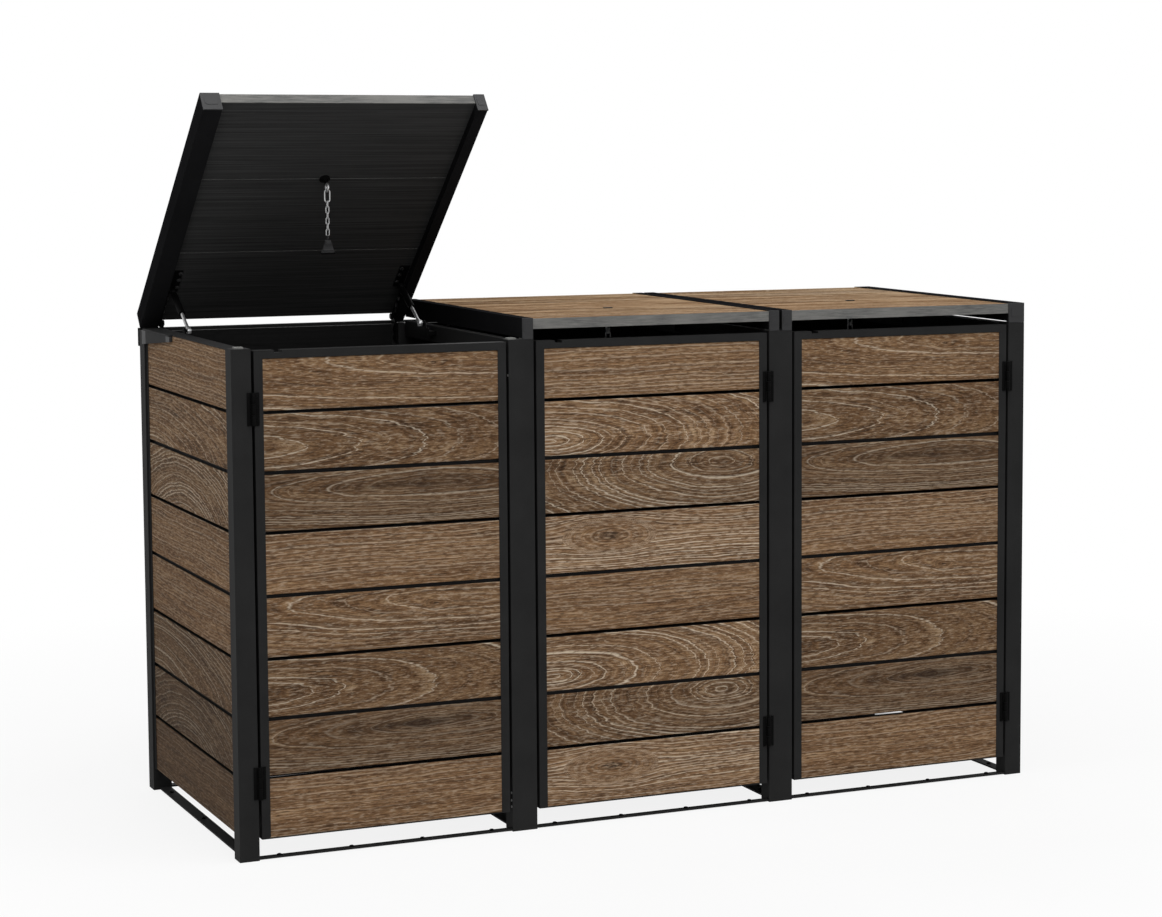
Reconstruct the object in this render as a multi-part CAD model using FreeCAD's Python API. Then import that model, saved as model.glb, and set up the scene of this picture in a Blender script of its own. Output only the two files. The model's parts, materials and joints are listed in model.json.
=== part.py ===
"""Wheelie bin store with three bays: a square-tube frame filled with planks,
three inset doors, and three plank lids on gas struts, each with a lid chain.

Millimetres, X along the front, Y to the back, Z up, base on the ground.
Inside the script a depth is given as t, measured back from the front of the posts.
"""
import FreeCAD, Part
import math
import os

V = FreeCAD.Vector
os.makedirs("parts", exist_ok=True)

# Driving sizes of the frame
BAYS = 3
BAY_W = 604.5          # clear width of a bay: takes a 580 mm wide wheeled bin
DEPTH = 830.0          # front of the front posts to the back of the back posts
POST = 45.0            # square tube of the outer posts
MID_W = 61.0           # wider tube between two bays
WALL = 2.0             # wall of every tube
FRONT_H = 1150.0       # front posts
BACK_H = FRONT_H - 9   # back posts stay under the turning end of the lid
PLUG = 14.0            # plastic plugs in the ends of the tubes
RAIL_X = 25.0          # width of the rails that run front to back
SIDE_TOP = FRONT_H - 3 # top of the panels and of the side rails
TOP_RAIL_Z = 40.0      # height of those top rails
FLAT_Z = (1.5, 5.5)    # flat bars low down between the posts, bored for the ground
FLAT_X = (15.0, 42.0)  # outer bars, in from the outside of the posts
FLAT_MID = 41.0        # bars between two bays
FLAT_BACK = (10.0, 35.0)       # bar across the back, in from the back
SILL_T = (3.0, 22.0)   # narrower bar that the bins roll over
CROSS_T = 18.0         # flat tube across the back of the posts
CROSS_Z = (BACK_H - 40, BACK_H + 4)

# Planks: tongued in pairs, with an open gap between the pairs
PLANK_T = 20.0
FIRST_SEAM = 187.5     # height of the lowest gap, which is an open one
COVERS = (131.5, 135.5, 141.5, 142.0, 134.5, 135.0)     # from each gap to the next
GAP = 7.5
TONGUED_GAP = 8.5
TONGUE_T, TONGUE_IN = 6.0, 6.0
TONGUE_PLAY = 0.3
EASE = 1.8             # chamfer on the plank edges
RECESS = 6.5           # planks behind the face of the posts
CHANNEL = 12.0         # depth of the channels that hold the plank ends
SHEET = 1.5            # their wall
FIT = 0.5              # planks stop this far short of a channel
PANEL_Z0 = 53.5

# Doors
DOOR_GAP = 6.5
DOOR_Z = (47.5, FRONT_H - 4.5)
DOOR_T = 30.0
STILE = 20.0
DOOR_TOP = 18.0
DOOR_HANDS = (-1, 1, 1)        # which side the hinges are on, bay by bay
NOTCH_X, NOTCH_W, NOTCH_D = 62.0, 18.0, 6.0
BUTT_H = 74.0                  # height of a door hinge
BUTT_R = 5.0
BUTT_PIN = 2.5
BUTT_LEAF = 2.0
BUTT_OUT = 14.0                # from the axis to the edge of a leaf
BUTT_INSET = 129.0             # hinge centre from the end of the door
RUN = 0.05                     # running clearance of a pin in its hole
SIDES = 10                     # small round parts are drawn with this many flats

# Lids
LID_ANGLES = (40.0, 0.0, 0.0)  # how far each lid is stored open
LID_LIFT = 3.8                 # lid rails above the front posts
PAD = 3.5
PAD_W = 20.0
LID_H = 45.0
MID_RAIL = 26.0
SIDE_PLAY = 0.5                # lid rail inside the edge of the bay
SLOT = 12.0                    # groove in the rail that holds the lid boards
LID_T = 24.0
LID_LOW = 19.5                 # underside of the boards above the underside of the rails
CAP = 3.0
CAP_PAD = 0.8
CAP_SKIRT = 3.3                # front caps reach down to just over the posts
BOARD_PITCH = (DEPTH + 2.5) / 3
SEAM = 1.5
BAND = 2.0                     # edge band on the front board
LID_END = 3.0                  # boards stop this far short of the back of the rails

# Lid hinges
PIVOT_T = DEPTH - 15
PIVOT_Z = FRONT_H + 7
PIVOT_R = 4.0
STRAP = 3.0
STRAP_L = 110.0
STRAP_R = 9.0
EAR = 4.0
EAR_PLAY = 0.4                 # between the strap and the ear
PIN_PLAY = 0.3                 # end of the pin to the lid rail

# Gas struts, in the plane STRUT_X inside the edge of the bay
STRUT_X = 13.0
BALL_T, BALL_Z = DEPTH - 250, FRONT_H + 3
TOP_T, TOP_N = BALL_T + 112.5, 7.0      # upper pivot, above the underside of the rails
TUBE_R = 8.0
TUBE_WALL = 1.4
MOUTH = 17.0                   # mouth of the tube to the ball, lid closed
GLAND = 6.0
PISTON = 6.0
ROD_R = 4.0
NECK_R = 4.2
EYE_R, EYE_W = 8.0, 9.0
STUD_R = 4.0
STUD_PLAY = 0.4                # lower stud to the socket, which the linkage leaves open

# Lid chain
EYE_N = -8.0                   # centre of the ring below the rails' underside
RING_R, RING_WIRE = 9.0, 2.6
SHANK_R = 3.0
BIG_LINK = (17.0, 6.2, 1.8)    # straight length, bend radius, wire radius
LINK = (9.0, 3.6, 1.4)
LINKS = 6
LINK_PLAY = 0.1
CLIP_LOOP = (4.0, 4.2, 1.4)
CLIP_W, CLIP_H, CLIP_T = 17.0, 34.0, 2.6       # half width at the jaws, height, thickness
CLIP_NECK = 5.0

WIDTH = 2 * POST + (BAYS - 1) * MID_W + BAYS * BAY_W
LID_Z = FRONT_H + LID_LIFT
LEFT = -WIDTH / 2
OPEN_MAX = max(LID_ANGLES)


def turned(t, z, angle):
    """Where a point of a closed lid goes when the lid opens by angle."""
    c, s = math.cos(math.radians(angle)), math.sin(math.radians(angle))
    dt, dz = t - PIVOT_T, z - PIVOT_Z
    return PIVOT_T + dt * c + dz * s, PIVOT_Z - dt * s + dz * c


# The open lid reaches behind the posts and the door hinges stand in front of
# them: Y = 0 lies halfway between those two ends.
REAR = max(turned(DEPTH, LID_Z + LID_H, a)[0] for a in LID_ANGLES)
FRONT = -2 * BUTT_R
YF = -(REAR + FRONT) / 2


def bay_left(k):
    return LEFT + POST + k * (BAY_W + MID_W)


def bay_mid(k):
    return bay_left(k) + BAY_W / 2


def edge_x(k, side, a):
    """X at a distance a into bay k from its left (-1) or right (1) edge."""
    return bay_mid(k) + side * (BAY_W / 2 - a)


def post_spans():
    """(x0, x1) of the four posts, left to right."""
    spans = [(LEFT, LEFT + POST)]
    for k in range(1, BAYS):
        spans.append((bay_left(k) - MID_W, bay_left(k)))
    spans.append((-LEFT - POST, -LEFT))
    return spans


def box(x0, x1, t0, t1, z0, z1):
    x0, x1 = sorted((x0, x1))
    return Part.makeBox(x1 - x0, t1 - t0, z1 - z0, V(x0, YF + t0, z0))


def prism_x(points, x0, x1):
    """Extrude a (t, z) outline from x0 to x1."""
    x0, x1 = sorted((x0, x1))
    loop = [V(x0, YF + t, z) for t, z in points]
    return Part.Face(Part.makePolygon(loop + loop[:1])).extrude(V(x1 - x0, 0, 0))


def prism_t(points, t0, t1):
    """Extrude an (x, z) outline from t0 to t1."""
    loop = [V(x, YF + t0, z) for x, z in points]
    return Part.Face(Part.makePolygon(loop + loop[:1])).extrude(V(0, t1 - t0, 0))


def ring_points(r, n=SIDES, inside=False):
    """Corners of a regular polygon: round a circle of radius r, or in it."""
    if inside:
        r /= math.cos(math.pi / n)
    return [(r * math.cos(2 * math.pi * (i + 0.5) / n), r * math.sin(2 * math.pi * (i + 0.5) / n))
            for i in range(n)]


def pin_x(r, x0, x1, t, z, n=SIDES):
    """Round bar along X; its corners lie on radius r, so it turns in bore_x(r + play)."""
    return prism_x([(t + u, z + v) for u, v in ring_points(r, n)], x0, x1)


def bore_x(r, x0, x1, t, z, n=SIDES):
    """Cutter along X whose flats stay outside radius r."""
    return prism_x([(t + u, z + v) for u, v in ring_points(r, n, True)], x0, x1)


def upright(points, x, t, z0, z1):
    loop = [V(x + u, YF + t + v, z0) for u, v in points]
    return Part.Face(Part.makePolygon(loop + loop[:1])).extrude(V(0, 0, z1 - z0))


def pin_z(r, x, t, z0, z1, n=SIDES):
    return upright(ring_points(r, n), x, t, z0, z1)


def bore_z(r, x, t, z0, z1, n=SIDES):
    return upright(ring_points(r, n, True), x, t, z0, z1)


def lathe_z(outline, x, n=SIDES):
    """Turn an (r, h) outline round the line x, 0 along Z; it starts and ends on the axis."""
    turn = [(math.cos(2 * math.pi * (i + 0.5) / n), math.sin(2 * math.pi * (i + 0.5) / n))
            for i in range(n)]
    faces = []
    for (r0, h0), (r1, h1) in zip(outline[:-1], outline[1:]):
        for (c0, s0), (c1, s1) in zip(turn, turn[1:] + turn[:1]):
            loop = [V(x + r0 * c0, r0 * s0, h0), V(x + r0 * c1, r0 * s1, h0),
                    V(x + r1 * c1, r1 * s1, h1), V(x + r1 * c0, r1 * s0, h1)]
            if r0 == 0:
                loop = loop[1:]
            elif r1 == 0:
                loop = loop[:3]
            faces.append(Part.Face(Part.makePolygon(loop + loop[:1])))
    solid = Part.makeSolid(Part.makeShell(faces))
    if solid.Volume < 0:
        solid.reverse()
    return solid


def hex_head(across, height, at, way):
    """Hexagonal bolt head standing on the point (x, t, z), facing along way."""
    x, t, z = at
    c = V(x, YF + t, z)
    side = V(0, 0, 1) if abs(way.z) < 0.5 else V(1, 0, 0)
    other = way.cross(side)
    r = across / math.sqrt(3)
    loop = [c + side * (r * math.cos(math.pi * i / 3)) + other * (r * math.sin(math.pi * i / 3))
            for i in range(6)]
    return Part.Face(Part.makePolygon(loop + loop[:1])).extrude(way * height)


def save(name, shapes):
    solids = []
    for s in shapes:
        s = s.removeSplitter()
        solids += s.Solids
    Part.makeCompound(solids).exportStep("parts/%s.step" % name)


def lid_pose(shape, k):
    out = shape.copy()
    out.rotate(V(0, YF + PIVOT_T, PIVOT_Z), V(1, 0, 0), -LID_ANGLES[k])
    return out


# The frame

def post(x0, x1, t0, height):
    tube = box(x0, x1, t0, t0 + POST, 0, height)
    return tube.cut(box(x0 + WALL, x1 - WALL, t0 + WALL, t0 + POST - WALL, 0, height))


def post_plugs(x0, x1, t0, height):
    inside = (x0 + WALL, x1 - WALL, t0 + WALL, t0 + POST - WALL)
    return [box(*inside, 0, PLUG), box(*inside, height - PLUG, height)]


def flat_tube(x0, x1, t0, t1, z0, z1, along):
    """Rectangular tube, open at its two ends, running along x or t."""
    a, b = (0, WALL) if along == "x" else (WALL, 0)
    inner = box(x0 + a, x1 - a, t0 + b, t1 - b, z0 + WALL, z1 - WALL)
    return box(x0, x1, t0, t1, z0, z1).cut(inner)


def long_spans(outer_a, mid_w):
    """X of the bars from the front to the back posts: outer sides, then between bays."""
    spans = [sorted((s * (WIDTH / 2 - outer_a[0]), s * (WIDTH / 2 - outer_a[1]))) for s in (-1, 1)]
    for k in range(1, BAYS):
        x = bay_left(k) - MID_W / 2
        spans.append((x - mid_w / 2, x + mid_w / 2))
    return spans


def top_rails():
    return [flat_tube(x0, x1, POST, DEPTH - POST, SIDE_TOP - TOP_RAIL_Z, SIDE_TOP, "t")
            for x0, x1 in long_spans((POST - 17, POST), RAIL_X)]


def low_bars():
    """Flat bars low down: front to back, then across the back of each bay."""
    bars = [box(x0, x1, POST, DEPTH - POST, *FLAT_Z) for x0, x1 in long_spans(FLAT_X, FLAT_MID)]
    t0, t1 = DEPTH - FLAT_BACK[1], DEPTH - FLAT_BACK[0]
    return bars + [box(edge_x(k, -1, 0), edge_x(k, 1, 0), t0, t1, *FLAT_Z) for k in range(BAYS)]


def sill(k):
    return box(edge_x(k, -1, 0), edge_x(k, 1, 0), *SILL_T, *FLAT_Z)


# Planks

def plank_rows(z0, z1):
    """(z0, z1, grooved, tongued) of the planks that fill a panel from z0 to z1."""
    seams = []
    z = FIRST_SEAM
    while z < z1 - GAP:
        if z > z0 + GAP:
            seams.append((z, len(seams) % 2 == 1))
        z += COVERS[len(seams) % len(COVERS) - 1]
    rows = []
    low, grooved = z0, False
    for z, tongued in seams:
        half = (TONGUED_GAP if tongued else GAP) / 2
        rows.append((low, z - half, grooved, tongued))
        low, grooved = z + half, tongued
    return rows + [(low, z1, grooved, False)]


def plank_outline(z0, z1, face, back, grooved, tongued):
    """Cross-section of a plank: eased front edges, a groove below and a tongue above."""
    d = 1 if back > face else -1
    mid, half = (face + back) / 2, TONGUE_T / 2
    loop = [(back, z0)]
    if grooved:
        wide, deep = half + TONGUE_PLAY, z0 + TONGUE_IN + TONGUE_PLAY
        loop += [(mid + d * wide, z0), (mid + d * wide, deep), (mid - d * wide, deep),
                 (mid - d * wide, z0)]
    loop += [(face + d * EASE, z0), (face, z0 + EASE), (face, z1 - EASE), (face + d * EASE, z1)]
    if tongued:
        tip = z1 + TONGUED_GAP + TONGUE_IN
        loop += [(mid - d * half, z1), (mid - d * half, tip), (mid + d * half, tip),
                 (mid + d * half, z1)]
    return loop + [(back, z1)]


def side_planks(s):
    face, back = s * (WIDTH / 2 - RECESS), s * (WIDTH / 2 - RECESS - PLANK_T)
    t0, t1 = POST + SHEET + FIT, DEPTH - POST - SHEET - FIT
    return [prism_t(plank_outline(a, b, face, back, *joints), t0, t1)
            for a, b, *joints in plank_rows(PANEL_Z0, SIDE_TOP - SHEET)]


def side_channels(s):
    """Upright channels on the posts and the cap strip over the top plank."""
    out, inn = WIDTH / 2 - RECESS + SHEET, WIDTH / 2 - RECESS - PLANK_T - SHEET
    z1 = SIDE_TOP - SHEET
    made = []
    for t0, t1, w0 in ((POST, POST + CHANNEL, POST + SHEET),
                       (DEPTH - POST - CHANNEL, DEPTH - POST, DEPTH - POST - CHANNEL)):
        body = box(s * out, s * inn, t0, t1, PANEL_Z0, z1)
        made.append(body.cut(box(s * (out - SHEET), s * (inn + SHEET), w0,
                                 w0 + CHANNEL - SHEET, PANEL_Z0, z1)))
    made.append(box(s * out, s * inn, POST, DEPTH - POST, z1, SIDE_TOP))
    return made


def back_planks(k):
    face, back = DEPTH - RECESS, DEPTH - RECESS - PLANK_T
    x0, x1 = edge_x(k, -1, SHEET + FIT), edge_x(k, 1, SHEET + FIT)
    return [prism_x(plank_outline(a, b, face, back, *joints), x0, x1)
            for a, b, *joints in plank_rows(PANEL_Z0, BACK_H - 3)]


def back_channels(k):
    t0, t1 = DEPTH - RECESS - PLANK_T - SHEET, DEPTH - RECESS + SHEET
    made = []
    for side in (-1, 1):
        body = box(edge_x(k, side, 0), edge_x(k, side, CHANNEL), t0, t1, PANEL_Z0, BACK_H - 3)
        made.append(body.cut(box(edge_x(k, side, SHEET), edge_x(k, side, CHANNEL),
                                 t0 + SHEET, t1 - SHEET, PANEL_Z0, BACK_H - 3)))
    return made


# Gussets over the back end of the side panels

GUSSET_T = (DEPTH - 297, DEPTH - 262, DEPTH - 65, DEPTH - 28)
GUSSET_LOW = (SIDE_TOP - 16, SIDE_TOP - 39)      # lower edge at its front and back ends
GUSSET_OUT = 1.5
LIP_OUT, LIP_Z = 3.0, 4.0


def gusset_low(t):
    f = (t - GUSSET_T[0]) / (GUSSET_T[3] - GUSSET_T[0])
    return GUSSET_LOW[0] + f * (GUSSET_LOW[1] - GUSSET_LOW[0])


def gusset_piece(s, t0, t1, top):
    loop = [(t0, gusset_low(t0)), (t1, gusset_low(t1)), (t1, top), (t0, top)]
    half = WIDTH / 2
    over = prism_x(loop, s * (half + GUSSET_OUT), s * half)
    t2 = min(t1, DEPTH - POST)
    loop = [(t0, gusset_low(t0)), (t2, gusset_low(t2)), (t2, top), (t0, top)]
    return over.fuse(prism_x(loop, s * half, s * (half - RECESS + SHEET)))


def gusset(s):
    a, b, c, d = GUSSET_T
    top = SIDE_TOP - LIP_Z
    half = WIDTH / 2
    plate = gusset_piece(s, b, c, top)
    lip = box(s * (half + LIP_OUT), s * (half - RECESS + SHEET), a, DEPTH - POST, top, SIDE_TOP)
    return plate.fuse(lip)


def gusset_ends(s):
    a, b, c, d = GUSSET_T
    top = SIDE_TOP - LIP_Z
    return [gusset_piece(s, a, b, top), gusset_piece(s, c, d, top)]


# Doors

def door_x(k):
    return edge_x(k, -1, DOOR_GAP), edge_x(k, 1, DOOR_GAP)


def door_frame(k):
    """Two channel stiles, the top rail with its notch, and the bottom strip."""
    x0, x1 = door_x(k)
    z0, z1 = DOOR_Z
    top = z1 - DOOR_TOP
    low = z0 + SHEET
    made = []
    for a, b in ((x0, 1), (x1, -1)):
        stile = box(a, a + b * STILE, 0, DOOR_T, z0, z1)
        groove = box(a + b * (STILE - CHANNEL), a + b * STILE, SHEET, SHEET + PLANK_T, low, top)
        made.append(stile.cut(groove))
    rail = box(x0 + STILE, x1 - STILE, 0, DOOR_T, top, z1)
    nx = edge_x(k, -1, NOTCH_X)
    rail = rail.cut(box(nx - NOTCH_W / 2, nx + NOTCH_W / 2, 0, DOOR_T, z1 - NOTCH_D, z1))
    strip = box(x0 + STILE, x1 - STILE, 0, DOOR_T, z0, low)
    return [made[0].fuse([rail, strip, made[1]])]


def door_planks(k):
    x0, x1 = door_x(k)
    inset = STILE - CHANNEL + FIT
    return [prism_x(plank_outline(a, b, SHEET, SHEET + PLANK_T, *joints), x0 + inset, x1 - inset)
            for a, b, *joints in plank_rows(DOOR_Z[0] + SHEET, DOOR_Z[1] - DOOR_TOP)]


def butt_axis(k):
    """X of the hinge axis: the middle of the gap on the hinge side."""
    return edge_x(k, DOOR_HANDS[k], DOOR_GAP / 2)


def butt_centres():
    return DOOR_Z[0] + BUTT_INSET, DOOR_Z[1] - BUTT_INSET


def butt_half(k, zc, on_post):
    """One half of a butt hinge; the post's half carries the pin."""
    x, away = butt_axis(k), DOOR_HANDS[k] * (1 if on_post else -1)
    third = BUTT_H / 3
    lo = zc - BUTT_H / 2
    spans = [(0, 1), (2, 3)] if on_post else [(1, 2)]
    gap = 0.4
    leaf = box(x + away * (BUTT_R + 0.5), x + away * BUTT_OUT, -BUTT_LEAF, 0, lo, lo + BUTT_H)
    parts = []
    for a, b in spans:
        z0 = lo + a * third + (gap if a == 1 else 0)
        z1 = lo + b * third - (gap if b == 2 else 0)
        parts.append(pin_z(BUTT_R, x, -BUTT_R, z0, z1))
        parts.append(box(x, x + away * (BUTT_R + 0.5), -BUTT_LEAF, 0, z0, z1))
    half = leaf.fuse(parts)
    if on_post:
        return half.fuse(pin_z(BUTT_PIN, x, -BUTT_R, lo, lo + BUTT_H))
    return half.cut(bore_z(BUTT_PIN + RUN, x, -BUTT_R, lo, lo + BUTT_H))


def door_stop(k):
    """Strip behind the door's free edge with two magnetic catches on it."""
    side = -DOOR_HANDS[k]
    t0 = DOOR_T + 0.4
    return [box(edge_x(k, side, 0), edge_x(k, side, 11), t0, t0 + 3, 120, 1080)]


def catches(k):
    side = -DOOR_HANDS[k]
    t0 = DOOR_T + 0.4
    return [box(edge_x(k, side, 0), edge_x(k, side, 14), t0 + 3, t0 + 13, z, z + 46)
            for z in (150, 1000)]


# Lids

def rail_spans(k):
    """(outer, inner) X of the two lid rails of bay k, left then right."""
    spans = []
    for side in (-1, 1):
        end = (side < 0 and k == 0) or (side > 0 and k == BAYS - 1)
        width = POST - SIDE_PLAY if end else MID_RAIL
        inner = edge_x(k, side, -SIDE_PLAY)
        spans.append((inner + side * width, inner))
    return spans


def lid_rail(outer, inner):
    """Extruded rail: a hollow box with a groove for the ends of the boards."""
    d = 1 if inner > outer else -1
    z = LID_Z
    lo, hi = z + LID_LOW, z + LID_LOW + LID_T
    back = inner - d * SLOT
    skin = [(outer, z), (inner, z), (inner, lo), (back, lo), (back, hi), (inner, hi),
            (inner, z + LID_H), (outer, z + LID_H)]
    w = WALL
    hollow = [(outer + d * w, z + w), (inner - d * w, z + w), (inner - d * w, lo - w),
              (back - d * w, lo - w), (back - d * w, hi), (outer + d * w, hi)]
    return prism_t(skin, CAP, DEPTH - CAP).cut(prism_t(hollow, CAP, DEPTH - CAP))


def rounded_plate(x0, x1, z0, z1, t0, t1, r):
    x0, x1 = sorted((x0, x1))
    loop = []
    for i, (cx, cz) in enumerate(((x1 - r, z1 - r), (x0 + r, z1 - r), (x0 + r, z0 + r),
                                  (x1 - r, z0 + r))):
        for j in range(4):
            a = math.pi / 2 * (i + j / 3)
            loop.append((cx + r * math.cos(a), cz + r * math.sin(a)))
    return prism_t(loop, t0, t1)


def lid_caps(k):
    """End caps: flat at the back, with a raised rounded panel at the front."""
    caps = []
    for outer, inner in rail_spans(k):
        x0, x1 = sorted((outer, inner))
        plate = box(x0, x1, 0, CAP, LID_Z - CAP_SKIRT, LID_Z + LID_H)
        m = (x1 - x0) * 0.16
        pad = rounded_plate(x0 + m, x1 - m, LID_Z + 11, LID_Z + LID_H - 11, -CAP_PAD, 0, 5)
        d = 1 if inner > outer else -1
        peg = box(outer + d * WALL, inner - d * (SLOT + WALL), CAP, CAP + 12,
                  LID_Z + WALL, LID_Z + LID_LOW - WALL)
        caps.append(plate.fuse([pad, peg]))
        caps.append(box(x0, x1, DEPTH - CAP, DEPTH, LID_Z, LID_Z + LID_H))
    return caps


def lid_rows():
    """(t0, t1) of the three boards, front to back."""
    first = CAP + BAND
    last = DEPTH - LID_END - CAP
    cuts = [BOARD_PITCH * i for i in (1, 2)]
    return [(first, cuts[0] - SEAM / 2), (cuts[0] + SEAM / 2, cuts[1] - SEAM / 2),
            (cuts[1] + SEAM / 2, last)]


def lid_boards(k):
    spans = rail_spans(k)
    x0, x1 = spans[0][1] - SLOT + FIT, spans[1][1] + SLOT - FIT
    lo, hi = LID_Z + LID_LOW, LID_Z + LID_LOW + LID_T
    made = []
    for t0, t1 in lid_rows():
        e = EASE
        made.append(prism_x([(t0, lo), (t1, lo), (t1, hi - e), (t1 - e, hi), (t0 + e, hi),
                             (t0, hi - e)], x0, x1))
    bolt = bore_z(SHANK_R + 0.5, bay_mid(k), BOARD_PITCH, lo, hi, 8)
    return [made[0].cut(bolt), made[1].cut(bolt), made[2]]


def lid_band(k):
    spans = rail_spans(k)
    return [box(spans[0][1], spans[1][1], CAP, CAP + BAND, LID_Z + LID_LOW,
                LID_Z + LID_LOW + LID_T)]


def round_end(r, a0, a1, n=6):
    """Points round the pivot, from angle a0 to a1 in degrees above the back."""
    out = []
    for i in range(n + 1):
        a = math.radians(a0 + (a1 - a0) * i / n)
        out.append((PIVOT_T + r * math.cos(a), PIVOT_Z + r * math.sin(a)))
    return out


def lid_straps(k):
    """Hinge straps inside the lid rails, bored for the pivot."""
    made = []
    z0, z1 = PIVOT_Z - 3, LID_Z + LID_LOW - 0.5
    front, waist = PIVOT_T - STRAP_L, PIVOT_T - 16
    loop = [(front + 6, z0), (waist, z0)] + round_end(STRAP_R, -90, 60)
    loop += [(waist, z1), (front, z1), (front, z0 + 6)]
    for side in (-1, 1):
        x0, x1 = edge_x(k, side, -SIDE_PLAY), edge_x(k, side, -SIDE_PLAY + STRAP)
        made.append(prism_x(loop, x0, x1).cut(bore_x(PIVOT_R + RUN, x0, x1, PIVOT_T, PIVOT_Z)))
    return made


def lid_ear(k, side):
    """Hinge ear on the back post, with the pivot pin that runs in the strap."""
    near = STRAP - SIDE_PLAY + EAR_PLAY
    far = near + EAR
    low, high = CROSS_Z[0] - 6, BACK_H - 1.5
    t0, t1 = DEPTH - POST + 2, DEPTH - RECESS - PLANK_T - SHEET - 0.5
    base = box(edge_x(k, side, 0), edge_x(k, side, far), t0, t1, low, high)
    loop = [(t0, high)] + [(PIVOT_T + STRAP_R, high)] + round_end(STRAP_R, 0, 150)
    ear = prism_x(loop, edge_x(k, side, near), edge_x(k, side, far))
    pin = pin_x(PIVOT_R, edge_x(k, side, PIN_PLAY - SIDE_PLAY), edge_x(k, side, far),
                PIVOT_T, PIVOT_Z)
    way = V(-side, 0, 0)
    bolts = [hex_head(10, 3, (edge_x(k, side, far), (t0 + t1) / 2, z), way)
             for z in (low + 10, high - 14)]
    return base.fuse([ear, pin, hex_head(13, 5, (edge_x(k, side, far), PIVOT_T, PIVOT_Z), way)]
                     + bolts)


# Gas struts

def strut_ends(k, angle):
    """(t, z) of the upper pivot and of the ball with the lid open by angle."""
    return turned(TOP_T, LID_Z + TOP_N, angle), (BALL_T, BALL_Z)


def strut_length(angle):
    (ut, uz), (bt, bz) = strut_ends(0, angle)
    return math.hypot(bt - ut, bz - uz)


TUBE_L = strut_length(0) - MOUTH          # upper pivot to the mouth of the tube
STROKE = strut_length(OPEN_MAX) - strut_length(0)


def along_strut(shape, k):
    """Carry a shape built along +Z from the upper pivot onto the strut of bay k."""
    (ut, uz), (bt, bz) = strut_ends(k, LID_ANGLES[k])
    shape.rotate(V(0, 0, 0), V(1, 0, 0), math.degrees(math.atan2(-(bt - ut), bz - uz)))
    shape.translate(V(0, YF + ut, uz))
    return shape


def strut_tube(k, side):
    """Eye, shoulder and tube with a gland at its mouth, all turned on one axis."""
    x = edge_x(k, side, STRUT_X)
    top = EYE_R + 6
    floor = TUBE_L - GLAND - STROKE - PISTON - 2
    outline = [(0, EYE_R - 2), (NECK_R, EYE_R - 2), (NECK_R, top - 2), (TUBE_R, top + 2),
               (TUBE_R, TUBE_L), (ROD_R + RUN, TUBE_L), (ROD_R + RUN, TUBE_L - GLAND),
               (TUBE_R - TUBE_WALL, TUBE_L - GLAND), (TUBE_R - TUBE_WALL, floor), (0, floor)]
    eye = eye_block(EYE_R, x, 0)
    return along_strut(lathe_z(outline, x).fuse(eye).cut(eye_block(STUD_R + RUN, x, 0, True)), k)


def eye_block(r, x, h, hole=False):
    """Round eye, or the cutter for its hole, across the strut at height h."""
    w = EYE_W / 2
    loop = [V(x - w, u, h + v) for u, v in ring_points(r, SIDES, hole)]
    return Part.Face(Part.makePolygon(loop + loop[:1])).extrude(V(EYE_W, 0, 0))


def strut_rod(k, side):
    """Piston, rod and the ball socket at the frame end."""
    x = edge_x(k, side, STRUT_X)
    length = strut_length(LID_ANGLES[k])
    p1 = TUBE_L - GLAND - (STROKE - (length - strut_length(0))) - 1
    bore = TUBE_R - TUBE_WALL - 0.4
    outline = [(0, p1 - PISTON), (bore, p1 - PISTON), (bore, p1), (ROD_R, p1),
               (ROD_R, length), (0, length)]
    return along_strut(lathe_z(outline, x).fuse(eye_block(EYE_R, x, length)), k)


def lid_bracket(k, side):
    """Plate under the boards with an ear and the stud of the upper pivot."""
    t, z = TOP_T, LID_Z + TOP_N
    under = LID_Z + LID_LOW
    a0, a1 = 3.0, 6.0
    far = STRUT_X + EYE_W / 2
    plate = box(edge_x(k, side, a0), edge_x(k, side, 28), t - 68, t + 14, under - 2, under)
    loop = [(t - 11, under), (t + 14, under), (t + 7, z - 3), (t, z - 8), (t - 7, z - 3)]
    ear = prism_x(loop, edge_x(k, side, a0), edge_x(k, side, a1))
    stud = pin_x(STUD_R, edge_x(k, side, a1), edge_x(k, side, far + 0.3), t, z)
    head = pin_x(6, edge_x(k, side, far + 0.3), edge_x(k, side, far + 2), t, z, 6)
    near = STRUT_X - EYE_W / 2 - 0.3
    shoulder = pin_x(6, edge_x(k, side, a1), edge_x(k, side, near), t, z, 6)
    return plate.fuse([ear, stud, head, shoulder])


def frame_bracket(k, side):
    """Plate on the top rail with the lower stud, which ends beside the socket."""
    outer = (side < 0 and k == 0) or (side > 0 and k == BAYS - 1)
    low = SIDE_TOP - 30
    plate = box(edge_x(k, side, 0), edge_x(k, side, 3), BALL_T - 32, BALL_T + 32, low, SIDE_TOP - 4)
    loop = [(BALL_T - 16, SIDE_TOP - 4), (BALL_T + 16, SIDE_TOP - 4), (BALL_T + 8, BALL_Z + 2),
            (BALL_T + 4, BALL_Z + 7), (BALL_T - 4, BALL_Z + 7), (BALL_T - 8, BALL_Z + 2)]
    tab = prism_x(loop, edge_x(k, side, 0), edge_x(k, side, 3))
    stud = pin_x(STUD_R, edge_x(k, side, 3), edge_x(k, side, STRUT_X - EYE_W / 2 - STUD_PLAY),
                 BALL_T, BALL_Z)
    nut = hex_head(11, 2.5, (edge_x(k, side, 3), BALL_T, BALL_Z), V(-side, 0, 0))
    extra = [stud, nut]
    if not outer:
        inset = (MID_W - RAIL_X) / 2
        extra.append(box(edge_x(k, side, -inset), edge_x(k, side, 0), BALL_T - 32, BALL_T + 32,
                         low + 8, SIDE_TOP - 12))
    return plate.fuse([tab] + extra)


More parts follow.
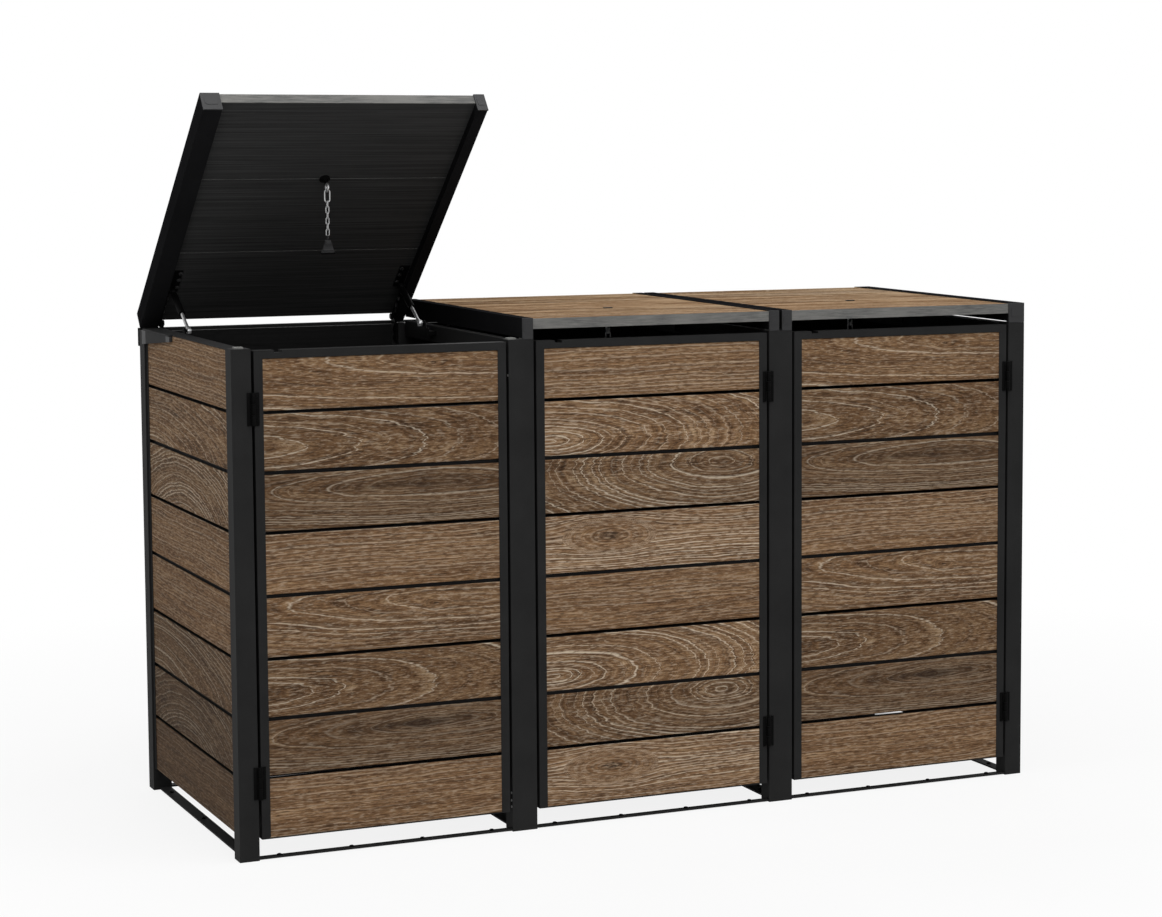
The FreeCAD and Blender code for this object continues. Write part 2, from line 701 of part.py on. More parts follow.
# Lid chain: faceted links, each swept round its own path

def link_path(straight, bend, steps=3):
    """Centre line of a link in its plane: two bends joined by straights."""
    pts = []
    for half in (1, -1):
        for i in range(steps + 1):
            a = math.pi * i / steps
            pts.append((half * bend * math.cos(a), half * (straight / 2 + bend * math.sin(a))))
    return pts


def reach(size):
    """Half the height of a link along its centre line."""
    return max(v for u, v in link_path(size[0], size[1]))


def wire_loop(pts, wire, corner, n=6):
    """Wire of n flats bent round a closed path of points, mitred at each; corner places
    a point from its distance along the path's plane and its distance out of it."""
    rings = []
    for i, p in enumerate(pts):
        before, after = pts[i - 1], pts[(i + 1) % len(pts)]
        d0 = (p[0] - before[0], p[1] - before[1])
        d1 = (after[0] - p[0], after[1] - p[1])
        l0, l1 = math.hypot(*d0), math.hypot(*d1)
        tx, ty = d0[0] / l0 + d1[0] / l1, d0[1] / l0 + d1[1] / l1
        tl = math.hypot(tx, ty)
        stretch = l0 * tl / (d0[0] * tx + d0[1] * ty)
        rings.append([corner(p[0] + ty / tl * u * stretch, p[1] - tx / tl * u * stretch, w)
                      for u, w in ring_points(wire, n)])
    faces = []
    for r0, r1 in zip(rings, rings[1:] + rings[:1]):
        for j in range(n):
            loop = [r0[j], r0[(j + 1) % n], r1[(j + 1) % n], r1[j]]
            faces.append(Part.Face(Part.makePolygon(loop + loop[:1])))
    solid = Part.makeSolid(Part.makeShell(faces))
    if solid.Volume < 0:
        solid.reverse()
    return solid


def hung_link(x, y, z_top, size, plane):
    """A link hung with the centre of its upper wire at z_top; plane is 'xz' or 'yz'."""
    straight, bend, wire = size
    zc = z_top - reach(size)

    def corner(u, v, w):
        return V(x + u, y + w, zc + v) if plane == "xz" else V(x + w, y + u, zc + v)

    return wire_loop(link_path(straight, bend), wire, corner)


def ring_centre(k):
    return turned(BOARD_PITCH, LID_Z + EYE_N, LID_ANGLES[k])


def eye_bolt(k):
    """Ring, shank, round base plate and the flat head on top of the boards."""
    x, t, z = bay_mid(k), BOARD_PITCH, LID_Z + EYE_N
    under, top = LID_Z + LID_LOW, LID_Z + LID_LOW + LID_T
    ring = wire_loop(ring_points(RING_R), RING_WIRE, lambda u, v, w: V(x + w, YF + t + u, z + v))
    shank = pin_z(SHANK_R, x, t, z + RING_R, top, 8)
    plate = pin_z(17, x, t, under - 2.5, under, 16)
    head = box(x - 10, x + 10, t - 4, t + 4, top, top + 1.2)
    return ring.fuse([shank, plate, head])


def chain(k):
    """Links from the ring down, and the height of the last one's lower wire."""
    t, z = ring_centre(k)
    top = z - RING_R + RING_WIRE + BIG_LINK[2] + LINK_PLAY
    links = []
    for i in range(LINKS + 1):
        size = LINK if i else BIG_LINK
        links.append(hung_link(bay_mid(k), YF + t, top, size, "yz" if i % 2 else "xz"))
        low = top - 2 * reach(size)
        top = low + size[2] + LINK[2] + LINK_PLAY
    return links, low


def clip(k):
    """Sprung clip: its loop, a barrel and two jaws that meet at the wide end."""
    t = ring_centre(k)[0]
    x, y = bay_mid(k), YF + t
    top = chain(k)[1] + LINK[2] + CLIP_LOOP[2] + LINK_PLAY
    loop = hung_link(x, y, top, CLIP_LOOP, "xz" if LINKS % 2 else "yz")
    neck = top - 2 * reach(CLIP_LOOP)
    jaws = []
    for d in (-1, 1):
        outline = [(-CLIP_NECK, 0), (CLIP_NECK, 0), (CLIP_W, -CLIP_H), (-CLIP_W, -CLIP_H)]
        pts = [V(x + u, y + d * 0.2, neck + w) for u, w in outline]
        jaw = Part.Face(Part.makePolygon(pts + pts[:1])).extrude(V(0, d * CLIP_T, 0))
        jaw.rotate(V(x, y + d * 0.2, neck - CLIP_H), V(1, 0, 0), -d * 6)
        jaws.append(jaw)
    barrel = pin_x(4.4, x - 8, x + 8, t, neck - 9, 8)
    return barrel.fuse(jaws + [loop])


def build():
    spans = post_spans()
    save("front_posts", [post(a, b, 0, FRONT_H) for a, b in spans])
    save("back_posts", [post(a, b, DEPTH - POST, BACK_H) for a, b in spans])
    plugs = []
    for a, b in spans:
        plugs += post_plugs(a, b, 0, FRONT_H) + post_plugs(a, b, DEPTH - POST, BACK_H)
    save("post_plugs", plugs)
    pads = []
    for k in range(BAYS):
        for outer, inner in rail_spans(k):
            x = (outer + inner) / 2
            pads.append(box(x - PAD_W / 2, x + PAD_W / 2, (POST - PAD_W) / 2,
                            (POST + PAD_W) / 2, FRONT_H, FRONT_H + PAD))
    save("lid_pads", pads)
    save("top_rails", top_rails())
    save("low_rails", low_bars())
    save("sills", [sill(k) for k in range(BAYS)])
    save("back_crossbar", [flat_tube(LEFT, -LEFT, DEPTH, DEPTH + CROSS_T, *CROSS_Z, "x")])
    for s, name in ((-1, "left"), (1, "right")):
        save("%s_planks" % name, side_planks(s))
    save("side_channels", side_channels(-1) + side_channels(1))
    save("back_planks", [p for k in range(BAYS) for p in back_planks(k)])
    save("back_channels", [c for k in range(BAYS) for c in back_channels(k)])
    save("gussets", [gusset(s) for s in (-1, 1)])
    save("gusset_ends", gusset_ends(-1) + gusset_ends(1))
    sides = [(k, s) for k in range(BAYS) for s in (-1, 1)]
    save("lid_ears", [lid_ear(k, s) for k, s in sides])
    save("strut_feet", [frame_bracket(k, s) for k, s in sides])
    save("door_hinges", [butt_half(k, z, True) for k in range(BAYS) for z in butt_centres()])
    save("door_stops", [s for k in range(BAYS) for s in door_stop(k)])
    save("door_catches", [c for k in range(BAYS) for c in catches(k)])
    for k in range(BAYS):
        n = k + 1
        save("door_%d_frame" % n, door_frame(k))
        save("door_%d_planks" % n, door_planks(k))
        save("door_%d_leaves" % n, [butt_half(k, z, False) for z in butt_centres()])
        save("lid_%d_rails" % n, [lid_pose(lid_rail(*s), k) for s in rail_spans(k)])
        save("lid_%d_caps" % n, [lid_pose(c, k) for c in lid_caps(k)])
        save("lid_%d_boards" % n, [lid_pose(b, k) for b in lid_boards(k)])
        save("lid_%d_band" % n, [lid_pose(b, k) for b in lid_band(k)])
        fittings = lid_straps(k) + [lid_bracket(k, s) for s in (-1, 1)]
        save("lid_%d_fittings" % n, [lid_pose(f, k) for f in fittings])
        save("lid_%d_eye" % n, [lid_pose(eye_bolt(k), k)])
        save("lid_%d_strut_tubes" % n, [strut_tube(k, s) for s in (-1, 1)])
        save("lid_%d_strut_rods" % n, [strut_rod(k, s) for s in (-1, 1)])
        save("lid_%d_chain" % n, chain(k)[0])
        save("lid_%d_clip" % n, [clip(k)])


build()
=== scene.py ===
# %% [markdown]
# # A bin store with three bays
# The real object is a garden store for three wheeled bins. A frame of square
# tube carries brown planks on its sides, back and doors, and three plank lids
# turn on pins at the back, each pushed up by two gas struts.
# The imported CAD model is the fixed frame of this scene, so nothing here moves
# it: it gets its finishes here, and the fine pieces that it lacks.

# %% Load the frame
import bpy
import json
import math
from functools import partialmethod
from types import SimpleNamespace
from mathutils import Matrix, Vector


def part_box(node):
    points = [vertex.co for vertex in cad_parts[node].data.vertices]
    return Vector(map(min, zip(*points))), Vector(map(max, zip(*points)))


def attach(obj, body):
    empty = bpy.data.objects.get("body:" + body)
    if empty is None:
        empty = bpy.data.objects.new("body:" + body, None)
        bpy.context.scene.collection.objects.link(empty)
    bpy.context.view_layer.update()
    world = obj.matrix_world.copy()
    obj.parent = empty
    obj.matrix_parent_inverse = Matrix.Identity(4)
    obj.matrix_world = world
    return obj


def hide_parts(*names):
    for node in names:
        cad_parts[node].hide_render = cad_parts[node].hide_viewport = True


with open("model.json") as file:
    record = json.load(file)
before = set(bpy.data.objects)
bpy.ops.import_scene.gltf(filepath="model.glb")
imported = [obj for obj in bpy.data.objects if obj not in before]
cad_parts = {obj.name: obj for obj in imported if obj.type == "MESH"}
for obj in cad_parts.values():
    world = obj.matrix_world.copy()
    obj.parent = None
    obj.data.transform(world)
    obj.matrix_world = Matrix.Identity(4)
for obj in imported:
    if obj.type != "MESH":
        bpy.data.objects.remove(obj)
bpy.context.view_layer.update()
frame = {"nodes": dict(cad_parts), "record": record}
nodes = frame["nodes"]

# %% [markdown]
# ## Camera
# The photograph looks along the row of doors from the left, a little above
# the tops of the posts, through a long lens. The crop is off the lens's axis,
# which a small shift of the film back gives without tilting the posts.

# %% Camera
eye = bpy.data.cameras.new("photo_camera")
eye.lens, eye.sensor_width = 88.13, 36.0
eye.shift_x, eye.shift_y = -0.1696, -0.0426
camera = bpy.data.objects.new("photo_camera", eye)
camera.location = (-2.68006, -6.53565, 1.63295)
camera.rotation_euler = (math.radians(84.368), 0, math.radians(-26.18))
bpy.context.scene.collection.objects.link(camera)
bpy.context.scene.camera = camera
bpy.context.scene.view_settings.view_transform = "Standard"
print("camera", tuple(round(v, 3) for v in camera.location))

# %% [markdown]
# ## A short way to wire a finish
# Every finish below is a small network of nodes. Typing each link by hand
# hides the idea, so a bench keeps one material's tree and joins sockets in
# one short call. A number goes straight into a socket, a socket is linked.
# The sums that come back most, such as plus and times, have short names.

# %% Bench for the finishes
class Bench:
    def __init__(self, name):
        self.finish = bpy.data.materials.new(name)
        self.finish.use_nodes = True
        self.tree = self.finish.node_tree
        self.shader = self.tree.nodes["Principled BSDF"]
        self.place = self.add("ShaderNodeTexCoord").outputs["Object"]

    def add(self, kind, **settings):
        node = self.tree.nodes.new(kind)
        for key, value in settings.items():
            setattr(node, key, value)
        return node

    def put(self, socket, value):
        if isinstance(value, bpy.types.NodeSocket):
            self.tree.links.new(value, socket)
        else:
            socket.default_value = value

    def sum(self, operation, *values, clamp=False):
        node = self.add("ShaderNodeMath", operation=operation, use_clamp=clamp)
        for socket, value in zip(node.inputs, values):
            self.put(socket, value)
        return node.outputs[0]

    plus, minus = partialmethod(sum, "ADD"), partialmethod(sum, "SUBTRACT")
    times, over = partialmethod(sum, "MULTIPLY"), partialmethod(sum, "DIVIDE")
    larger, above = partialmethod(sum, "MAXIMUM"), partialmethod(sum, "GREATER_THAN")
    times_plus = partialmethod(sum, "MULTIPLY_ADD")

    def squares(self, first, second):
        return self.plus(self.times(first, first), self.times(second, second))

    def turn(self, place, move=(0, 0, 0), angle=(0, 0, 0), scale=(1, 1, 1)):
        node = self.add("ShaderNodeMapping")
        for name, value in (("Vector", place), ("Location", move), ("Rotation", angle), ("Scale", scale)):
            self.put(node.inputs[name], value)
        return node.outputs[0]

    def split(self, place):
        node = self.add("ShaderNodeSeparateXYZ")
        self.put(node.inputs[0], place)
        return node.outputs[:3]

    def join(self, x, y, z):
        node = self.add("ShaderNodeCombineXYZ")
        for socket, value in zip(node.inputs, (x, y, z)):
            self.put(socket, value)
        return node.outputs[0]

    def noise(self, place, scale, detail, rough=0.5):
        node = self.add("ShaderNodeTexNoise")
        for name, value in (("Vector", place), ("Scale", scale), ("Detail", detail), ("Roughness", rough)):
            self.put(node.inputs[name], value)
        return node.outputs[0]

    def ramp(self, fac, stops, step=False):
        node = self.add("ShaderNodeValToRGB")
        node.color_ramp.interpolation = "CONSTANT" if step else "LINEAR"
        points = node.color_ramp.elements
        while len(points) < len(stops):
            points.new(0.5)
        for point, (at, colour) in zip(points, stops):
            point.position = at
            point.color = (*colour, 1)
        self.put(node.inputs[0], fac)
        return node.outputs[0]

    def mix(self, fac, under, over):
        """Lay the colour over on the one under. Sockets 6, 7 and 2 of this node are its colours."""
        node = self.add("ShaderNodeMix", data_type="RGBA")
        self.put(node.inputs[0], fac)
        self.put(node.inputs[6], under)
        self.put(node.inputs[7], over if isinstance(over, bpy.types.NodeSocket) else (*over, 1))
        return node.outputs[2]

    def span(self, value, low, high, to_low=0.0, to_high=1.0):
        node = self.add("ShaderNodeMapRange")
        for socket, number in zip(node.inputs, (value, low, high, to_low, to_high)):
            self.put(socket, number)
        return node.outputs[0]

    def bump(self, height, distance, strength):
        node = self.add("ShaderNodeBump")
        self.put(node.inputs["Height"], height)
        node.inputs["Distance"].default_value = distance
        node.inputs["Strength"].default_value = strength
        self.put(self.shader.inputs["Normal"], node.outputs[0])

    def set(self, **values):
        for name, value in values.items():
            self.put(self.shader.inputs[name.replace("_", " ")], value)
        return self.finish


def srgb(*levels):
    """A colour as an eyedropper reads it, 0 to 255, in the linear values that Blender mixes."""
    return tuple(((v / 255 + 0.055) / 1.055) ** 2.4 if v > 10 else v / 255 / 12.92 for v in levels)


print("a grey of 128 is", round(srgb(128)[0], 3), "in linear light")

# %% [markdown]
# ## Wood that is told how it was sawn
# The planks are a printed oak decor in brown with pale pores. Its pictures
# are those of real sawn boards: a trunk's rings are cylinders, and a plank
# cuts them at a slope, which draws long nested arches, or straight lines where
# the heart is far away. So each board gets a card that says where the heart
# lies, how steep the cut is and how wide the rings are, and one finish reads
# the cards by board. That gives arches, feathers, knots and plain boards from
# one network, each where the photograph has it.

# %% Cards of the boards
# bright, heart height, heart along, slope, tilt, ring width in mm, chalk, dark lines, dark streak,
# knot along, knot height, knot size in mm. Heights are parts of the board, lengths metres.
PLAIN_LIGHT = (1.07, -0.75, 0.2, 0.03, 0.01, 8.0, 0.32, 0.50, 0.0, 0, 0, 0)
PLAIN = (0.94, 0.78, 0.22, 0.10, -0.02, 12.0, 0.70, 0.60, 0.0, 0.121, 0.70, 11)
ZIGZAG = (0.76, 0.42, -0.345, 0.17, 0.0, 16.0, 1.00, 0.35, 0.0, 0, 0, 0)
FEATHER = (0.69, 0.68, 0.13, 0.11, 0.01, 5.0, 0.50, 0.65, 1.0, 0.090, 0.69, 6)
ARCHES = (1.01, 0.28, -0.262, 0.27, 0.0, 7.5, 1.00, 0.45, 0.0, 0, 0, 0)
BOWS = (0.79, 0.77, 0.177, 0.31, 0.0, 7.0, 1.00, 0.60, 0.1, 0, 0, 0)
EYE = (1.18, -0.9, -0.3, 0.03, 0.0, 6.5, 0.60, 0.60, 0.0, -0.113, 0.60, 38)
HILLS = (0.84, -0.55, 0.04, 0.40, 0.0, 8.0, 1.00, 0.55, 0.2, 0, 0, 0)
WAVES = (0.92, -0.20, 0.30, 0.22, 0.0, 9.0, 1.00, 0.45, 0.0, 0, 0, 0)

# %% Panels, each from the lowest board up
SEAMS = [0.1875, 0.319, 0.4545, 0.596, 0.738, 0.8725, 1.0075]
BOTTOM, TOP = 0.0505, 1.147
SIDE_DOOR = [PLAIN_LIGHT, FEATHER, ZIGZAG, PLAIN] * 2
MIDDLE_DOOR = [EYE, BOWS, ARCHES, PLAIN_LIGHT] * 2
# The side walls' lower boards are darkened, a painted shade towards the ground, and their arches stand on
# the lower edges.
WALL_PAINTED_SHADE = (0.50, 0.56, 0.65, 0.94, 0.98, 1.0, 1.0, 0.97)


def with_painted_light(card, shade):
    """The same board, darker for painted shade or brighter for painted light."""
    return (card[0] * shade,) + card[1:]


WALL = [with_painted_light(*pair) for pair in zip([PLAIN_LIGHT, HILLS, WAVES, PLAIN_LIGHT] * 2, WALL_PAINTED_SHADE)]
print("boards in a panel", len(WALL), "with seams at", SEAMS)

# %% [markdown]
# ## A table that a finish can read
# A finish has no table to look things up in, but a colour ramp with hard steps
# serves as one: it takes the number of the board and gives three numbers back
# as red, green and blue. These have to lie between 0 and 1, so a measure is
# written as a part of its range and turned back when it is read.

# %% The table
ACROSS, ALONG = (-0.5, 2.0), (-1.5, 1.5)
WIDEST_MM, BRIGHTEST = 50, 2.0
WIDEST = WIDEST_MM / 1000


def part_of(value, low, high):
    return (value - low) / (high - low)


def board_cards(cards, seams, bottom, top):
    """Turn the cards of one panel into rows of numbers from 0 to 1 for four ramps."""
    edges = [bottom] + seams + [top]
    rows = []
    for i, card in enumerate(cards):
        bright, heart, along, slope, lean, width, chalk, dark, streak, knot_u, knot_v, knot = card
        low, size = edges[i], edges[i + 1] - edges[i]
        rows.append([(part_of(low + heart * size, *ACROSS), part_of(along, *ALONG), slope),
                     (width / WIDEST_MM, chalk, dark),
                     (part_of(knot_u, *ALONG), part_of(low + knot_v * size, *ACROSS), knot / WIDEST_MM),
                     (bright / BRIGHTEST, streak, lean + 0.5)])
    return list(zip(*rows))


def read_card(b, index, cards, seams, bottom, top):
    """The card of the board that this spot lies on."""
    row = b.over(index, float(len(cards)))
    picked = []
    for rows in board_cards(cards, seams, bottom, top):
        stops = [(i / len(cards), colour) for i, colour in enumerate(rows)]
        picked.append(b.split(b.ramp(row, stops, step=True)))
    (heart, start, slope), (width, chalk, dark), (knot_u, knot_v, knot), (bright, streak, lean) = picked
    return SimpleNamespace(
        heart=b.span(heart, 0, 1, *ACROSS), start=b.span(start, 0, 1, *ALONG), slope=slope,
        width=width, chalk=chalk, dark=dark, knot=knot,
        knot_u=b.span(knot_u, 0, 1, *ALONG), knot_v=b.span(knot_v, 0, 1, *ACROSS),
        bright=b.times(bright, BRIGHTEST), streak=streak, lean=b.minus(lean, 0.5))


print("numbers on a card", len(PLAIN))

# %% [markdown]
# ## Rings, lines and marks
# The distance from the heart counts the rings. Waves, the zigzag of a rough
# saw and a knot bend that distance first. Then each ring draws a pale line
# broken by pores and a dark one of late wood, and some boards get a dark
# feather along the heart. Every ring has a strength of its own, because a
# tree doesn't grow evenly.

# %% Rings
def rings(b, card, spot):
    """How far the heart is, after waves and a knot have bent the rings."""
    # Slow waves along the board, and the zigzag of a rough saw where arches close.
    wave = b.noise(b.turn(spot.seat, scale=(2.6, 9, 4)), 1.0, 2.0)
    wave = b.times_plus(wave, 0.026, -0.013)
    jag = b.noise(b.turn(spot.seat, scale=(6, 120, 8)), 1.0, 2.0, 0.6)
    jag = b.times(b.minus(jag, 0.5), b.times(card.width, WIDEST * 3.8))
    ahead = b.minus(b.plus(spot.along, jag), card.start)
    ripple = b.noise(b.turn(spot.seat, scale=(16, 55, 8)), 1.0, 2.0)
    wave = b.plus(wave, b.times_plus(ripple, 0.007, -0.0035))
    side = b.minus(b.plus(spot.across, wave), card.heart)
    side = b.minus(side, b.times(card.lean, spot.along))
    # A knot pushes the rings aside and has small ones of its own. Its size is half its height.
    half = b.times_plus(card.knot, WIDEST, 0.00001)
    knot_u = b.minus(b.times_plus(jag, 0.3, spot.along), card.knot_u)
    knot_v = b.minus(b.times_plus(wave, 0.4, spot.across), card.knot_v)
    spread = b.squares(b.over(knot_u, b.times(half, 2.8)), b.over(knot_v, half))
    hill = b.sum("EXPONENT", b.times(spread, -0.6))
    side = b.minus(side, b.times(knot_v, hill))
    depth = b.times_plus(spot.deep, 0.2, b.times(ahead, card.slope))
    ring = b.sum("SQRT", b.squares(side, depth))
    # How fast the rings pass by here: slowly at the tip of an arch, where a line would smear.
    pace = b.sum("SQRT", b.squares(side, b.times(depth, card.slope)))
    pace = b.larger(b.over(pace, b.larger(ring, 0.001)), 0.26)
    small = b.times(b.sum("SQRT", spread), half)
    inner = b.span(spread, 1.3, 0.5)
    ring = b.plus(b.times(ring, b.minus(1.0, inner)), b.times(small, inner))
    return SimpleNamespace(ring=ring, pace=pace, side=side, spread=spread, inner=inner)


# %% Grain: noises pulled long
def grain(b, spot, ring):
    """Short dashes for the pores, fibres, bands, and threads that follow the rings."""
    pulled = b.join(b.times(ring, 300.0), b.times(spot.far_along, 8.0), spot.index)
    return SimpleNamespace(
        pores=b.noise(b.turn(spot.seat, scale=(52, 290, 120)), 1.0, 2.0, 0.6),
        fibres=b.noise(b.turn(spot.seat, scale=(28, 210, 90)), 1.0, 4.0, 0.8),
        bands=b.noise(b.turn(spot.seat, scale=(2.5, 42, 20)), 1.0, 3.0, 0.6),
        threads=b.noise(pulled, 1.0, 3.0, 0.7))


# %% The lines of the rings
LINE = 0.0018


def line_at(b, part, middle, width):
    """1 in the middle of a line, falling to 0 at its edges."""
    away = b.sum("ABSOLUTE", b.minus(part, middle))
    return b.minus(1.0, b.over(away, width), clamp=True)


def ring_lines(b, card, spot, bent, pores):
    """The pale lines and the dark ones, each from 0 to 1."""
    count = b.over(bent.ring, b.times(card.width, WIDEST))
    uneven = b.noise(b.join(b.times(count, 0.45), spot.index, 0.0), 1.0, 1.0)
    count = b.times_plus(uneven, 1.5, count)
    part = b.sum("FRACT", count)
    own = b.add("ShaderNodeTexWhiteNoise", noise_dimensions="2D")
    b.put(own.inputs["Vector"], b.join(b.sum("FLOOR", count), b.sum("FLOOR", spot.index), 0.0))
    own = own.outputs["Value"]
    thin = b.sum("MINIMUM", b.times(b.over(LINE / WIDEST, card.width), bent.pace), 0.34)
    wide = b.times(thin, 1.3)
    # Fainter pale lines run half way between the main ones.
    faint = line_at(b, b.sum("FRACT", b.times_plus(count, 2.0, 0.9)), 0.5, wide)
    pale = b.larger(line_at(b, part, 0.5, thin), b.times(faint, 0.16))
    pale = b.times(pale, b.span(pores, 0.38, 0.50, 0.3, 1.2))
    pale = b.times(pale, b.span(own, 0.15, 1.0, 0.15, 1.5))
    pale = b.times(b.times(pale, card.chalk), b.times_plus(bent.inner, -0.6, 1.0))
    scattered = b.times(b.span(pores, 0.53, 0.68), b.times_plus(card.chalk, 0.20, 0.28))
    late = b.times(b.times(line_at(b, part, 0.2, wide), card.dark), b.span(own, 0, 1, 0.4, 1.2))
    fleck = b.times(b.span(pores, 0.46, 0.33), 0.8)
    return b.larger(pale, scattered, clamp=True), b.larger(late, fleck, clamp=True)


# %% Dark marks
def dark_marks(b, card, spot, bent, pores):
    """The feather along the heart of some boards, and the core of a knot."""
    feather = b.squares(b.over(bent.side, 0.012), b.over(b.minus(spot.along, 0.07), 0.17))
    feather = b.times(b.sum("EXPONENT", b.times(feather, -1.0)), card.streak)
    broken = b.noise(b.turn(spot.seat, scale=(9, 70, 9)), 1.0, 3.0)
    feather = b.times(feather, b.span(broken, 0.32, 0.58, 0.35, 1.0))
    core = b.times(b.span(bent.spread, 0.11, 0.03), b.above(card.knot, 0.01))
    core = b.times(core, b.span(pores, 0.42, 0.60, 1.0, 0.35))
    return b.larger(b.times(feather, 0.75), b.times(core, 0.9))


# %% [markdown]
# ## Colours and layers
# The decor is a thin printed skin: browns from dark to light, then the dark
# lines, the pale pores and the marks. Under it the plank is black with fine
# ribs. Depth alone tells skin from core, so one finish serves for the whole
# plank. A lid's boards are brushed on top as well, and below the skin their
# long edges get a grey painted highlight.

# %% Colours of the decor
SKIN = 0.0023
BROWNS = [(0.38, srgb(50, 34, 21)), (0.465, srgb(94, 68, 45)),
          (0.535, srgb(120, 91, 63)), (0.62, srgb(160, 134, 104))]
LATE_WOOD, CHALK, DARK_HEART = srgb(50, 35, 24), srgb(196, 181, 160), srgb(40, 30, 24)
BRUSHED_PALE, BRUSHED_DARK, PAINTED_EDGE_HIGHLIGHT = srgb(176, 152, 122), srgb(80, 58, 40), srgb(120, 120, 118)


def decor(b, card, fine, pale, late, marks):
    tone = b.times_plus(fine.bands, 0.2, b.times(fine.threads, 0.44))
    tone = b.plus(b.times(fine.fibres, 0.36), tone)
    calm = b.times_plus(card.chalk, 0.26, 0.66)
    body = b.ramp(b.times_plus(b.minus(tone, 0.5), calm, 0.5), BROWNS)
    body = b.mix(b.times(late, 0.75), body, LATE_WOOD)
    body = b.mix(b.times(pale, 0.85), body, CHALK)
    body = b.mix(marks, body, DARK_HEART)
    tint = b.add("ShaderNodeVectorMath", operation="SCALE")
    b.put(tint.inputs[0], body)
    b.put(tint.inputs["Scale"], card.bright)
    return tint.outputs[0]


def brushed(b, spot, body, strength):
    """Fine lines along the boards, pale ones and dark ones."""
    pulled = b.join(b.times(spot.far_along, 1.5), b.times(spot.across, 30), 0.0)
    lines = b.noise(pulled, 1.0, 4.0, 0.75)
    body = b.mix(b.times(b.span(lines, 0.48, 0.64), strength), body, BRUSHED_PALE)
    return b.mix(b.times(b.span(lines, 0.50, 0.36), strength), body, BRUSHED_DARK)


def core_layer(b, spot, greys, edge):
    """The black layer with its ribs, with a grey painted highlight where a face looks along edge or away
    from it.
    """
    pulled = b.join(b.times(spot.far_along, 2.0), b.times(spot.across, 220), 0.0)
    ribs = b.noise(pulled, 1.0, 3.0, 0.7)
    black = b.ramp(ribs, [(0.3, srgb(*[greys[0]] * 3)), (0.7, srgb(*[greys[1]] * 3))])
    if edge:
        facing = b.add("ShaderNodeVectorMath", operation="DOT_PRODUCT")
        b.put(facing.inputs[0], b.add("ShaderNodeTexCoord").outputs["Normal"])
        b.put(facing.inputs[1], edge)
        # Painted highlight: faces along the long edges turn grey.
        highlight_rim = b.above(b.sum("ABSOLUTE", facing.outputs["Value"]), 0.7)
        black = b.mix(highlight_rim, black, PAINTED_EDGE_HIGHLIGHT)
    return black


# %% The oak
def oak(name, place_of, cards, seams, bottom, top, bay=None, stripes=0.0, edge=None,
        core_greys=(14, 22), gloss=0.09):
    """The printed oak. place_of turns the bench's place into along, across and deep."""
    b = Bench(name)
    along, across, deep = place_of(b)
    # Which board this is: count the seams below.
    index = 0.5
    for seam in seams:
        index = b.plus(index, b.above(across, seam))
    spot = SimpleNamespace(
        far_along=along, along=b.sum("WRAP", along, bay / 2, -bay / 2) if bay else along,
        across=across, deep=deep, index=index,
        seat=b.join(along, across, b.times_plus(index, 0.37, deep)))
    card = read_card(b, index, cards, seams, bottom, top)
    bent = rings(b, card, spot)
    fine = grain(b, spot, bent.ring)
    pale, late = ring_lines(b, card, spot, bent, fine.pores)
    body = decor(b, card, fine, pale, late, dark_marks(b, card, spot, bent, fine.pores))
    rough = b.span(b.plus(pale, b.times(fine.fibres, 0.5)), 0, 1, 0.58, 0.82)
    height = b.minus(b.times(fine.fibres, 0.7), b.times(b.larger(late, pale), 0.5))
    if stripes:
        body = brushed(b, spot, body, stripes)
    # Only the outer skin carries the decor.
    inside = b.above(deep, SKIN)
    body = b.mix(inside, body, core_layer(b, spot, core_greys, edge))
    height = b.times(b.minus(1.0, b.times(inside, 0.8)), height)
    rough = b.larger(rough, b.times(inside, 0.6))
    b.bump(height, 0.0006, 0.5)
    return b.set(Base_Color=body, Roughness=rough, Specular_IOR_Level=gloss)


# %% [markdown]
# ## Where each panel's planks lie
# The oak thinks in along, across and deep. A door has them in X, Z and Y and a
# side wall in Y, Z and X, with deep counted from the outer face. The planks of
# an open lid are turned back about its pin first, so they read like shut ones.

# %% Panels and their places
BAY, FRONT = 0.6655, -0.42168
MIDS = [-BAY, 0.0, BAY]
PIN, LID_ANGLES = Vector((0, 0.39332, 1.157)), [40.0, 0.0, 0.0]


def facing_front(centre):
    """Doors look to the front: deep is counted from the planks' foremost plane."""
    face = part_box("door_1_planks")[0].y
    def place_of(b):
        x, y, z = b.split(b.turn(b.place, move=(-centre, -face, 0)))
        return x, z, y
    return place_of


def facing_back(b):
    x, y, z = b.split(b.turn(b.place, move=(0, -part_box("back_planks")[1].y, 0)))
    return x, z, b.times(y, -1.0)


def facing_side(b):
    x, y, z = b.split(b.place)
    return y, z, b.minus(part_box("right_planks")[1].x, b.sum("ABSOLUTE", x))


def lying(centre, angle):
    """A lid's boards, turned back about its pin as if it were shut."""
    back = Matrix.Rotation(math.radians(angle), 3, "X")
    move = PIN - back @ PIN
    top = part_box("lid_2_boards")[1].z
    def place_of(b):
        x, y, z = b.split(b.turn(b.place, move=tuple(move), angle=(math.radians(angle), 0, 0)))
        return b.minus(x, centre), b.plus(y, -FRONT), b.minus(top, z)
    return place_of
